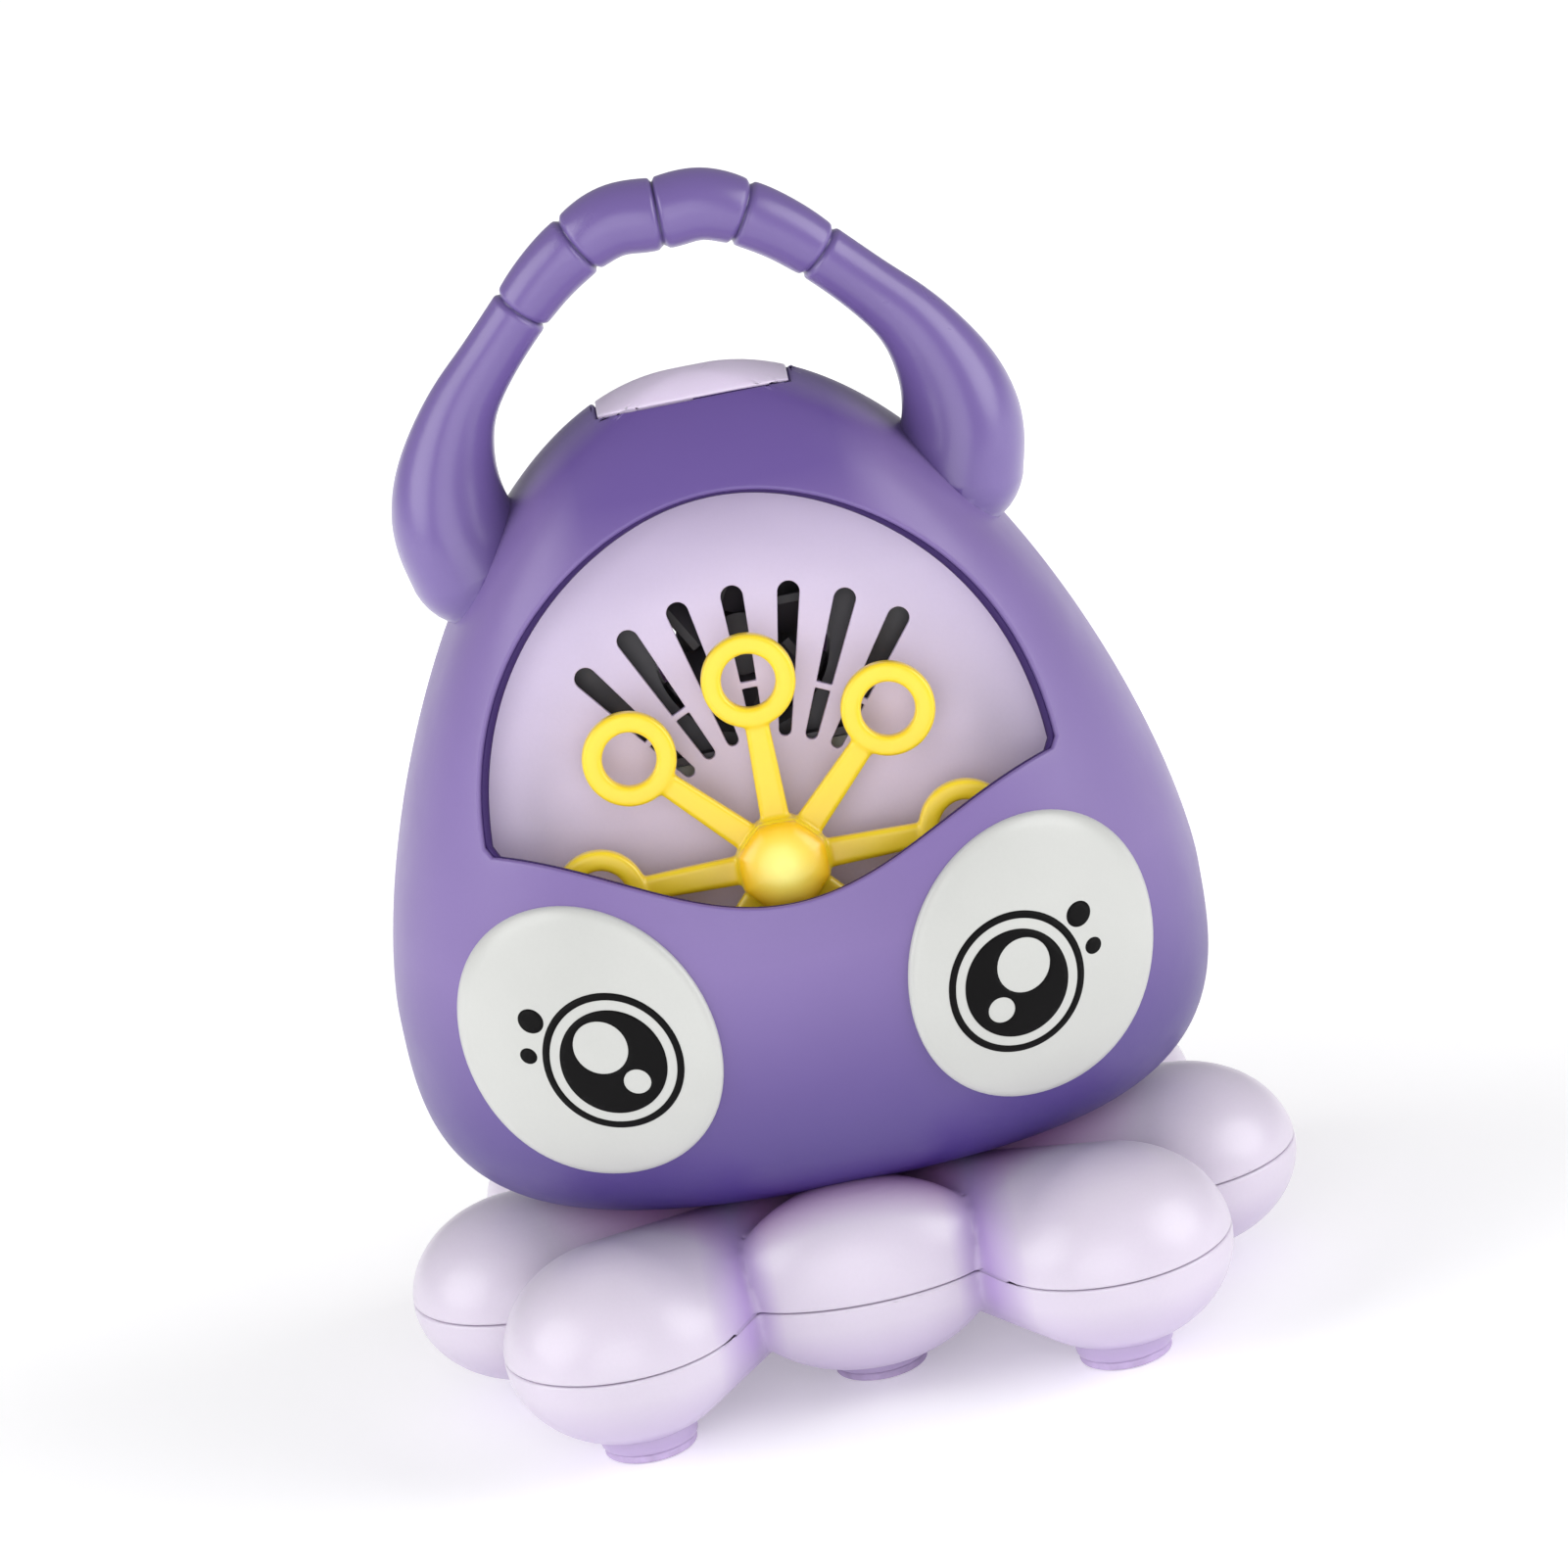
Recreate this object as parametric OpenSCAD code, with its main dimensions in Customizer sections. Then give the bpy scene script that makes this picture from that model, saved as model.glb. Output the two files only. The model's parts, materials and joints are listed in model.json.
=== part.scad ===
// Octopus bubble blower: a hand-held, battery-powered toy that turns a wheel of eight
// wands through a soap tank and blows air through them.
// +Z is up, the face looks along -Y, and the origin is on the floor under the middle of the base.

/* [Body] */
// Half of the body's greatest width
body_half_w = 79.3; // [76:0.1:80]
// Depth of the belly in front of the axis
body_front = 58; // [57:0.5:60]
// Depth of the back behind the axis
body_rear = 50; // [49:0.5:52]
// Height of the body's underside
body_low = 35; // [34:0.5:36]
// Height of the widest section
body_mid = 85; // [84:0.5:86]
// Height of the crown
body_top = 202; // [200:0.5:206]
// Shell thickness
wall = 2; // [1.8:0.1:2.2]
// Where the front and rear shells meet, behind the axis
split_y = 10; // [9:0.5:11]

/* [Window and eyes] */
// Half width of the window
window_half_w = 56; // [54:0.5:57]
// Height from the window's corners to its top
window_rise = 61; // [58:0.5:62]
// Height of the ellipse centre of the window
window_z = 124; // [123:0.5:125]
// Height of the middle of the lip
lip_z = 112.3; // [111:0.1:113]
// Half width of an eye plate
eye_half_w = 24.6; // [23:0.1:26]
// Half height of an eye plate
eye_half_h = 28.6; // [26:0.1:30]
// Distance of an eye from the middle
eye_x = 43; // [42:0.1:44.5]
// Height of an eye
eye_z = 87.5; // [86:0.5:89]
// How far an eye plate stands proud
eye_proud = 1.6; // [1.2:0.1:2]

/* [Wand wheel] */
// Radius to the middle of a wand's ring
wand_r = 35.6; // [34:0.1:36]
// Outer radius of a wand's ring
ring_r = 9.1; // [8.5:0.1:9.5]
// Inner radius of a wand's ring
ring_hole_r = 5.2; // [4:0.1:5.5]
// Thickness of the wheel
wheel_t = 4.6; // [4:0.1:5]
// How far the wheel and its drive lean back
lean = 12; // [11:0.5:13]
// Distance of the wheel's centre in front of the axis
wheel_f = 36; // [35:0.5:37]
// Height of the wheel's centre
wheel_z = 112.7; // [112:0.1:113.5]
// Number of wands
wands = 8; // [8]

/* [Base] */
// Height of the seam between the base's halves
seam_z = 23.6; // [23:0.1:24]
// Radius of a foot
foot_r = 9.6; // [9:0.1:10]
// Thickness of the base's walls
base_wall = 1.8; // [1.6:0.1:2]

/* [Handle] */
// Height of the grip's centreline
grip_z = 232.5; // [230:0.5:234]
// Radius of the grip at its top
grip_r = 7; // [6.5:0.1:7.5]

/* [Gears] */
// Gear module
gear_m = 0.7; // [0.7]
// Backlash at the pitch circle
backlash = 0.08; // [0.06:0.01:0.12]

/* [Hidden] */
$fn = 32;
gap = 0.3;            // clearance between neighbours that don't move
big = 400;            // larger than the whole object
purple = [0.40, 0.33, 0.64];
lilac = [0.84, 0.77, 0.90];
yellow = [0.97, 0.89, 0.16];
steel = [0.75, 0.76, 0.78];
section_n = 36;       // points round a body section
low_n = 7;            // body sections below the widest one
high_n = 10;          // and above it

// ---------------------------------------------------------------- body surface
function sign1(x) = x < 0 ? -1 : 1;
// Share of the widest section at height z, for a surface that lies `inset` inside the body.
// The power says how square the underside is: the body is squarer across than it is deep.
function share(z, inset, power) = z >= body_mid
    ? pow(max(0, 1 - pow((z - body_mid) / (body_top - inset - body_mid), 1.5)), 0.526)
    : pow(max(0, 1 - pow((body_mid - z) / (body_mid - body_low - inset), power)), 1 / power);
// The sections are superellipses, squarer towards the crown, where the forehead is nearly flat.
function squareness(z) = 2.2 + 2.4 * pow(max(0, (z - body_mid) / (body_top - body_mid)), 3);
function section(z, inset) =
    let (w = share(z, inset, 3.2) * (body_half_w - inset), d = share(z, inset, 2),
        e = 2 / squareness(min(z, body_top)))
    [for (i = [0:section_n - 1])
        let (a = 360 * i / section_n, depth = d * ((sin(a) > 0 ? body_rear : body_front) - inset))
        [w * sign1(cos(a)) * pow(abs(cos(a)), e), depth * sign1(sin(a)) * pow(abs(sin(a)), e), z]];
function levels(inset) = concat(
    [for (k = [low_n:-1:1]) body_mid - (body_mid - body_low - inset) * sin(90 * k / low_n)],
    [for (k = [0:high_n]) body_mid + (body_top - inset - body_mid) * sin(90 * k / high_n)]);

// The whole body as a solid, `inset` inside its outer surface (negative is outside it).
module body_solid(inset = 0) {
    z = levels(inset);
    for (i = [0:len(z) - 2])
        hull() polyhedron(points = concat(section(z[i], inset), section(z[i + 1], inset)),
            faces = [[for (k = [0:2 * section_n - 1]) k]]);
}
// The body's skin between two depths.
module body_layer(outer, inner) difference() { body_solid(outer); body_solid(inner); }

// The crest: a tongue of the rear shell that reaches forward over the crown, above a sloping cut.
crest_z = 195.8;      // height of the cut on the axis
crest_slope = 0.344;
crest_half_w = 19;
// Everything that belongs to the front shell: ahead of the split, but for the crest.
module front_region(clear = 0) difference() {
    translate([-big / 2, -big + split_y - clear, 0]) cube([big, big, big]);
    translate([0, 0, crest_z - clear]) rotate([-atan(crest_slope), 0, 0])
        translate([-crest_half_w - clear, -big / 2, 0]) cube([2 * (crest_half_w + clear), big, big]);
}

// ---------------------------------------------------------------- window and eyes
function lip(x) = lip_z + (window_z + 2.5 - lip_z) * (1 - cos(180 * x / window_half_w)) / 2;
window_points = concat(
    [for (k = [0:20]) let (a = 2.4 + 8.76 * k) [window_half_w * cos(a), window_z + window_rise * sin(a)]],
    [for (x = [-window_half_w + 4:4:window_half_w - 4]) [x, lip(x)]]);
module prism_y(y0, y1) translate([0, y1, 0]) rotate([90, 0, 0]) linear_extrude(y1 - y0) children();
module window() prism_y(-big / 2, -wheel_f + 30) polygon(window_points);

eye_skew = 0.04;      // how far an eye's top leans outwards
peg_dz = 12;          // distance of a plate's pegs above and below its middle
peg_r = 1.5;
print_t = 0.3;        // thickness of the printed iris
function eye_outline(side, grow = 0) = [for (i = [0:35]) let (a = 10 * i)
    [side * (eye_x + (eye_half_w + grow) * (sqrt(1 - eye_skew * eye_skew) * cos(a) + eye_skew * sin(a))),
     eye_z + (eye_half_h + grow) * sin(a)]];
module eye_pegs(side, r) for (dz = [-peg_dz, peg_dz])
    translate([side * (eye_x - 2), 0, eye_z + dz]) rotate([90, 0, 0]) cylinder(r = r, h = 70, $fn = 20);
module eye(side) color("white") {
    intersection() {
        body_layer(-eye_proud, -0.1);
        prism_y(-big / 2, -8) polygon(eye_outline(side));
    }
    intersection() { eye_pegs(side, peg_r); body_layer(-0.5, wall + 0.1); }
}
// The printed iris: a ring, a pupil with two highlights, and two dots, all drawn as seen from the front.
print_x = 39.2;
print_z = 85.7;
module iris_2d(side) {
    module disc(x, z, r) translate([side * x, z]) scale([1, 1.06]) circle(r = r, $fn = 20);
    difference() { disc(print_x, print_z, 12.9); disc(print_x, print_z, 11.8); }
    difference() {
        disc(print_x, print_z, 9.8);
        disc(print_x + 2.2, print_z + 3.7, 5.2);
        disc(print_x - 3.3, print_z - 4.3, 2.6);
    }
    disc(print_x + 14.1, print_z + 8.9, 2.4);
    disc(print_x + 15.8, print_z + 1.9, 1.6);
}
module eye_print(side) color("black") intersection() {
    body_layer(-eye_proud - 0.05 - print_t, -eye_proud - 0.05);
    prism_y(-big / 2, -8) iris_2d(side);
}

// ---------------------------------------------------------------- shells
screw_spots = [[60, 72], [61, 128], [15, 188.5]];     // x and z of the shell screws, on each side
post_r = 3.6;         // posts that the shell screws run in
screw_r = 1.15;
screw_hole_r = 1.2;   // hole that the screw bites in
neck_r = 17;
door_half_w = 32;
door_z = [50, 111];
switch_z = 121;
switch_travel = 5;
handle_y = 3;
tenon_z = 172;
tenon_r = 5;
module screw_axes(r, y0, y1) for (side = [-1, 1], s = screw_spots)
    translate([side * s[0], y0, s[1]]) rotate([-90, 0, 0]) cylinder(r = r, h = y1 - y0, $fn = 20);
module tenon_hole() translate([0, handle_y, tenon_z]) rotate([0, 90, 0])
    cylinder(r = tenon_r + gap, h = 2 * 56, center = true, $fn = 28);
module neck_hole() neck(neck_r + gap, body_low - 5, 12);
// The front tentacle's room under the body, `grow` larger all round and open towards the front.
module lobe_relief(grow) hull() for (t = [0, 1]) translate([0, -24 * t, 8.7 * t])
    ellipsoid(0, -lobes[0][1], lobes[0][2], lobes[0][3] + grow, lobes[0][4] + grow, lobes[0][5] + grow);

module front_shell() color(purple) difference() {
    union() {
        intersection() { body_layer(0, wall); front_region(0.05); }
        intersection() {
            union() { screw_axes(post_r, -60, split_y - 0.05); lobe_relief(0.4 + wall); }
            body_solid(wall / 2);
            front_region(0.05);
        }
    }
    window();
    neck_hole();
    tenon_hole();
    lobe_relief(0.4);
    screw_axes(screw_hole_r, split_y - 17, split_y + 1);
    for (side = [-1, 1]) intersection() {
        eye_pegs(side, peg_r + 0.2);
        translate([-big / 2, -big, 0]) cube([big, big - 20, big]);
    }
}

grille_slots = 6;
grille_z = 132;       // height of the lowest slot
grille_pitch = 5.5;
grille_half_w = 17;   // half width of the lowest slot, between its round ends
module grille() for (i = [0:grille_slots - 1]) let (w = grille_half_w - 0.9 * i) {
    translate([0, 0, grille_z + grille_pitch * i]) hull() for (x = [-w, w])
        translate([x, 10, 0]) rotate([-90, 0, 0]) cylinder(r = 1.3, h = 60, $fn = 16);
}
module door_opening(clear = 0) translate([-door_half_w + clear, 20, door_z[0] + clear])
    cube([2 * (door_half_w - clear), 60, door_z[1] - door_z[0] - 2 * clear]);
module rear_shell() color(lilac) difference() {
    union() {
        difference() { body_layer(0, wall); front_region(-0.05); }
        difference() {
            intersection() {
                screw_axes(post_r, split_y + 0.05, 60);
                body_solid(wall / 2);
            }
            front_region(-0.05);
        }
    }
    neck_hole();
    screw_axes(1.7, 0, 80);
    screw_axes(3.2, split_y + 6, 80);
    door_opening();
    grille();
    translate([-4 - switch_travel / 2, 30, switch_z - 2.3]) cube([8 + switch_travel, 30, 4.6]);
}

// ---------------------------------------------------------------- handle
// Each row is x, height and radius along one half of the handle, from the top of the grip to the horn.
horn = [[0, grip_z, grip_r], [8.5, 233, 6.8], [16.4, 229.4, 6.4], [23.2, 224.6, 6], [29.2, 218.8, 5.7],
    [37, 210.4, 5.8], [43.4, 202.6, 6.8], [47.4, 194.6, 8.6], [49.6, 186.6, 10.6], [49.8, 179, 12],
    [47.6, 171.6, 12.8]];
horn_depth = 1.2;     // a horn is deeper than it is wide
module bead(p) translate([p[0], handle_y, p[1]]) scale([1, 1 + (horn_depth - 1) * (p[2] - 5.7) / 7, 1])
    sphere(r = p[2], $fn = 14);
module handle() color(purple) {
    difference() {
        for (side = [-1, 1], i = [0:len(horn) - 2]) scale([side, 1, 1]) hull() {
            bead(horn[i]);
            bead(horn[i + 1]);
        }
        body_solid(-0.15);
    }
    // A tenon on each horn, sprung into the front shell's side.
    for (side = [-1, 1]) translate([side * 39, handle_y, tenon_z]) rotate([0, side * 90, 0])
        cylinder(r = tenon_r, h = 11.5, $fn = 28);
}

// ---------------------------------------------------------------- frame of the wheel and its drive
module drive_frame() translate([0, -wheel_f, wheel_z]) rotate([-lean, 0, 0]) children();
module rod_y(x, z, y0, y1, r) translate([x, y0, z]) rotate([-90, 0, 0]) cylinder(r = r, h = y1 - y0);

panel_y = [9, 11];
tank_back_y = [12.4, 14];
tank_top_z = 103.5;
tank_half_w = 51;
slot_n = 7;
slot_pitch = 12.3;
slot_r = [23, 53];
slot_end_r = [1.3, 2.4];  // a slot widens outwards
slot_rib_r = 33.5;
slot_rib_t = 1.2;
module slots_2d() difference() {
    for (i = [0:slot_n - 1]) rotate((i - (slot_n - 1) / 2) * slot_pitch) hull() {
        translate([0, slot_r[0] + slot_end_r[0]]) circle(r = slot_end_r[0], $fn = 16);
        translate([0, slot_r[1] - slot_end_r[1]]) circle(r = slot_end_r[1], $fn = 16);
    }
    difference() {
        circle(r = slot_rib_r + slot_rib_t / 2, $fn = 48);
        circle(r = slot_rib_r - slot_rib_t / 2, $fn = 48);
    }
}
module air_panel() color(lilac) difference() {
    intersection() {
        body_solid(wall + gap);
        drive_frame() translate([-75, panel_y[0], -13]) cube([150, panel_y[1] - panel_y[0], 90]);
    }
    drive_frame() {
        prism_y(panel_y[0] - 1, panel_y[1] + 1) slots_2d();
        rod_y(0, 0, panel_y[0] - 1, panel_y[1] + 1, 3.5);
    }
    // Room for the screw posts of the shells, and for the tank's sides.
    screw_axes(4, -60, 20);
    for (side = [-1, 1]) translate([side * (tank_half_w + big / 2 - 4.8) - big / 2, -big / 2, 0])
        cube([big, big, tank_top_z + gap]);
}
axle_r = 2;
module axle_seal() color([0.2, 0.2, 0.22]) drive_frame() difference() {
    union() {
        rod_y(0, 0, panel_y[0] - 0.9, panel_y[1] + 0.9, 3.4);
        rod_y(0, 0, panel_y[0] - 1, panel_y[0] - 0.1, 4.6);
        rod_y(0, 0, panel_y[1] + 0.1, panel_y[1] + 0.9, 4.6);
    }
    rod_y(0, 0, panel_y[0] - 2, panel_y[1] + 2, axle_r + 0.08);
}
module tank_room(inset, back, low) intersection() {
    body_solid(inset);
    drive_frame() translate([-100, -100, -100]) cube([200, 100 + back, 200]);
    translate([-tank_half_w + inset, -100, low])
        cube([2 * (tank_half_w - inset), 120, tank_top_z - low + (inset > 4 ? 1 : 0)]);
}
module solution_tank() color(lilac) difference() {
    tank_room(wall + gap, tank_back_y[1], 60);
    tank_room(wall + gap + 1.8, tank_back_y[0], 61.8);
}

// ---------------------------------------------------------------- wand wheel
hub_across = 8.6;     // from the wheel's axis to a flat of its hub
stalk = [4.8, 3.4];   // width and thickness of a wand's stalk
ring_edge = 0.8;      // bevel of a ring's edges
module ring_section() {
    x = [ring_hole_r, ring_hole_r + ring_edge, ring_r - ring_edge, ring_r];
    z = [wheel_t / 2 - ring_edge, wheel_t / 2];
    polygon([[x[0], -z[0]], [x[1], -z[1]], [x[2], -z[1]], [x[3], -z[0]],
        [x[3], z[0]], [x[2], z[1]], [x[1], z[1]], [x[0], z[0]]]);
}
module wand(a) rotate([0, -a, 0]) {
    translate([-stalk[0] / 2, -stalk[1] / 2, hub_across - 1.6])
        cube([stalk[0], stalk[1], wand_r - ring_r - hub_across + 2.6]);
    translate([0, 0, wand_r]) rotate([90, 0, 0]) rotate_extrude() ring_section();
}
hub_y = [-5.5, 3.5];
module wand_wheel() color(yellow) drive_frame() difference() {
    union() {
        translate([0, hub_y[0], 0]) rotate([-90, 180 / wands, 0])
            cylinder(r = hub_across / cos(180 / wands), h = hub_y[1] - hub_y[0], $fn = wands);
        for (i = [0:wands - 1]) wand(360 * i / wands);
    }
    rod_y(0, 0, -10, 10, axle_r);
}
cap_r = 8.3;
cap_rim = 1.2;        // height of the cap's straight rim
cap_dome = 3.6;       // and of the dome on it
module hub_cap() color(yellow) drive_frame() difference() {
    translate([0, hub_y[0] - 0.1, 0]) rotate([90, 0, 0]) rotate_extrude() polygon(concat([[0, 0]],
        [for (a = [0:11.25:90]) [cap_r * cos(a), cap_rim + cap_dome * sin(a)]]));
    rod_y(0, 0, hub_y[0] - 1.7, hub_y[0] + 0.9, axle_r + 0.05);
}
module wheel_axle() color(steel) drive_frame() rod_y(0, 0, -7, 30.4, axle_r);

// ---------------------------------------------------------------- gears
pressure = 25;
function involute(r, rb) = let (c = acos(min(1, rb / r))) tan(c) * 180 / PI - c;
function gear_points(teeth) =
    let (rp = gear_m * teeth / 2, rb = rp * cos(pressure), ra = rp + 0.8 * gear_m, rf = rp - 1.1 * gear_m,
        half = (90 / teeth) - (backlash / rp) * 45 / PI + involute(rp, rb),
        r = [for (k = [0:2]) max(rb, rf) + (ra - max(rb, rf)) * k / 2])
    [for (t = [0:teeth - 1]) let (c = 360 * t / teeth) each concat(
        [[rf * cos(c - half), rf * sin(c - half)]],
        [for (k = [0:2]) let (a = c - half + involute(r[k], rb)) [r[k] * cos(a), r[k] * sin(a)]],
        [for (k = [2:-1:0]) let (a = c + half - involute(r[k], rb)) [r[k] * cos(a), r[k] * sin(a)]],
        [[rf * cos(c + half), rf * sin(c + half)]])];
// Angles are measured in the drive frame from +X towards +Z.
function mesh_phase(dir, p1, z1, z2) = dir + 180 - (0.5 - (dir - p1) * z1 / 360) * 360 / z2;
z_out = 48;
z_big = 42;
z_small = 12;
dir_b = -20;          // from the wheel's axis to gear b's
dir_a = -110;         // from gear b's axis to gear a's
dir_m = 180;          // from gear a's axis to the motor's
span_out = gear_m * (z_out + z_small) / 2;
span = gear_m * (z_big + z_small) / 2;
spot_b = span_out * [cos(dir_b), sin(dir_b)];
spot_a = spot_b + span * [cos(dir_a), sin(dir_a)];
spot_m = spot_a + span * [cos(dir_m), sin(dir_m)];
phase_b = mesh_phase(dir_b, 0, z_out, z_small);
phase_a = mesh_phase(dir_a, phase_b, z_big, z_small);
phase_m = mesh_phase(dir_m, phase_a, z_big, z_small);
row_1 = [17.5, 20.5];     // gear a's big gear and the motor pinion, along the drive frame's Y
row_2 = [21.5, 24.5];     // gear b's big gear and gear a's pinion
row_3 = [25.5, 28.5];     // the output gear and gear b's pinion
module gear(teeth, phase, spot, row) translate([spot[0], 0, spot[1]])
    prism_y(row[0], row[1]) rotate(phase) polygon(gear_points(teeth));
module output_gear() color("ivory") drive_frame() difference() {
    union() { gear(z_out, 0, [0, 0], row_3); rod_y(0, 0, row_3[0] - 2, row_3[0] + 1, 5); }
    rod_y(0, 0, 20, 30, axle_r);
}
pin_r = 1;            // pins of the gears, and the motors' shafts
run = 0.05;           // clearance of a bore that turns on a pin or shaft, on the radius
module gear_b() color("ivory") drive_frame() difference() {
    union() {
        gear(z_small, phase_b, spot_b, [row_2[1] - 0.5, row_3[1]]);
        gear(z_big, phase_b, spot_b, row_2);
    }
    rod_y(spot_b[0], spot_b[1], 10, 40, pin_r + run);
}
module gear_a() color("ivory") drive_frame() difference() {
    union() {
        gear(z_small, phase_a, spot_a, [row_1[1] - 0.5, row_2[1]]);
        gear(z_big, phase_a, spot_a, row_1);
    }
    rod_y(spot_a[0], spot_a[1], 10, 40, pin_r + run);
}
module drive_pinion() color("ivory") drive_frame() {
    gear(z_small, phase_m, spot_m, row_1);
    rod_y(spot_m[0], spot_m[1], row_1[0] - 0.3, 32.8, pin_r);
}
pin_y = [15.6, 30.4];
module gear_pins() color(steel) drive_frame()
    for (s = [spot_a, spot_b]) rod_y(s[0], s[1], pin_y[0], pin_y[1], pin_r);
box_x = [-20, 38];        // the gearbox's outline, in the drive frame
box_z = [-43, 19.6];
box_t = 1.5;
gearbox_y = [15, 29.4, 31];
bolt_in = 2.5;            // from the outline to the bolts
gearbox_bolts = [for (x = [box_x[0] + bolt_in, box_x[1] - bolt_in], z = [box_z[0] + bolt_in, 17.5]) [x, z]];
module box_2d(grow = 0) translate([box_x[0] - grow, box_z[0] - grow])
    square([box_x[1] - box_x[0] + 2 * grow, box_z[1] - box_z[0] + 2 * grow]);
module gearbox_case() color("white") drive_frame() difference() {
    union() {
        difference() {
            prism_y(gearbox_y[0], gearbox_y[1] - 0.05) box_2d();
            prism_y(gearbox_y[0] + box_t, gearbox_y[1] + 1) box_2d(-box_t);
        }
        for (b = gearbox_bolts) rod_y(b[0], b[1], gearbox_y[0] + 1, gearbox_y[1] - 0.05, 2.4);
    }
    rod_y(0, 0, 10, 20, axle_r + run);
    for (s = [spot_a, spot_b]) rod_y(s[0], s[1], pin_y[0], 20, pin_r);
    for (b = gearbox_bolts) rod_y(b[0], b[1], gearbox_y[1] - 6, gearbox_y[1] + 1, 0.9);
}
module gearbox_cover() color("white") drive_frame() difference() {
    prism_y(gearbox_y[1], gearbox_y[2]) box_2d();
    rod_y(0, 0, 20, 40, axle_r + run);
    rod_y(spot_m[0], spot_m[1], 20, 40, 3.1);
    for (s = [spot_a, spot_b]) rod_y(s[0], s[1], 20, pin_y[1], pin_r);
    for (b = gearbox_bolts) rod_y(b[0], b[1], 20, 40, 1.15);
}
module gearbox_screws() color(steel) drive_frame() for (b = gearbox_bolts) {
    rod_y(b[0], b[1], gearbox_y[1] - 5, gearbox_y[2] + 0.1, 0.9);
    rod_y(b[0], b[1], gearbox_y[2] + 0.05, gearbox_y[2] + 1.4, 1.9);
}
// A small DC motor: can, bearing boss and end cap, with its shaft towards -Y.
can_r = 10;
module motor(x, z, y0, length) difference() {
    union() {
        rod_y(x, z, y0, y0 + length - 3, can_r);
        rod_y(x, z, y0 + length - 3, y0 + length, can_r - 0.8);
        rod_y(x, z, y0 - 1.4, y0 + 1, 3);
    }
    rod_y(x, z, y0 - 2, y0 + length - 4, pin_r + run);
}
module drive_motor() color(steel) drive_frame() motor(spot_m[0], spot_m[1], gearbox_y[2] + 0.05, 20);

// ---------------------------------------------------------------- fan
fan_z = 40.5;
fan_r = 16;
duct_y = [11.1, 17, 28];
duct_r = [21, 60.5];
duct_low = 20.4;      // height of the duct's floor, clear of the gearbox under it
duct_floor_half = 23; // half width of that floor
duct_side = [70, 62]; // a point beyond the arc, on the line of the duct's slanting side
duct_t = 1.4;
duct_ears = [25, fan_z + 10];   // x and z of the duct's screws
fan_rim = 2.6;        // from the fan's tips to the outside of its ring
module duct_sector(grow) intersection() {
    difference() {
        circle(r = duct_r[1] + grow, $fn = 96);
        circle(r = duct_r[0] - grow, $fn = 64);
    }
    polygon([[-duct_floor_half - grow, duct_low - grow], [duct_floor_half + grow, duct_low - grow],
        [duct_side[0] + grow, duct_side[1]], [0, 2 * duct_side[0]], [-duct_side[0] - grow, duct_side[1]]]);
}
module duct_rods(y0, y1, r) for (s = [-1, 1]) rod_y(s * duct_ears[0], duct_ears[1], y0, y1, r);
module air_duct() color([0.25, 0.24, 0.28]) drive_frame() difference() {
    union() {
        prism_y(duct_y[0], duct_y[1]) duct_sector(0);
        rod_y(0, fan_z, duct_y[1] - 0.1, duct_y[2], fan_r + fan_rim);
        duct_rods(duct_y[1] - 0.1, duct_y[1] + 3, 3);
    }
    prism_y(duct_y[0] - 1, duct_y[1] - duct_t) duct_sector(-duct_t);
    rod_y(0, fan_z, duct_y[1] - 2, duct_y[2] + 1, fan_r + 1);
    duct_rods(duct_y[1] - 2, duct_y[1] + 4, 1.1);
}
module duct_screws() color(steel) drive_frame() {
    duct_rods(duct_y[1] - 2.4, duct_y[1] + 3.1, 1);
    duct_rods(duct_y[1] + 3.05, duct_y[1] + 4.4, 2.1);
}
blades = 6;
module fan_rotor() color([0.25, 0.24, 0.28]) drive_frame() translate([0, 0, fan_z]) difference() {
    union() {
        rod_y(0, 0, 17.6, 26.6, 6);
        for (i = [0:blades - 1]) rotate([0, 360 * i / blades, 0]) intersection() {
            translate([5, 22, 0]) rotate([38, 0, 0]) cube([12, 1.3, 9]);
            rod_y(0, 0, 17.2, 27, fan_r);
        }
    }
    rod_y(0, 0, 16, 30, pin_r);
}
module fan_shaft() color(steel) drive_frame() rod_y(0, fan_z, 18.6, 33, pin_r);
module fan_motor() color(steel) drive_frame() motor(0, fan_z, 30.5, 24);
// A ring on the duct and a cup round the motor, joined by spokes that the air passes between.
spoke_w = 5;
cup_r = can_r + 2.2;
module motor_bracket() color([0.25, 0.24, 0.28]) drive_frame() difference() {
    union() {
        rod_y(0, fan_z, duct_y[2] + 0.05, duct_y[2] + 2.4, fan_r + fan_rim);
        rod_y(0, fan_z, duct_y[2] + 0.05, duct_y[2] + 10, cup_r);
    }
    difference() {
        rod_y(0, fan_z, duct_y[2] - 1, duct_y[2] + 3, fan_r + 1);
        rod_y(0, fan_z, duct_y[2] - 2, duct_y[2] + 4, cup_r);
        for (a = [30, 90, 150]) translate([0, duct_y[2] + 1, fan_z]) rotate([0, a, 0])
            cube([50, 10, spoke_w], center = true);
    }
    rod_y(0, fan_z, duct_y[2] + 2.45, duct_y[2] + 12, can_r + 0.05);
    rod_y(0, fan_z, duct_y[2] - 1, duct_y[2] + 12, can_r / 2);
}

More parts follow.
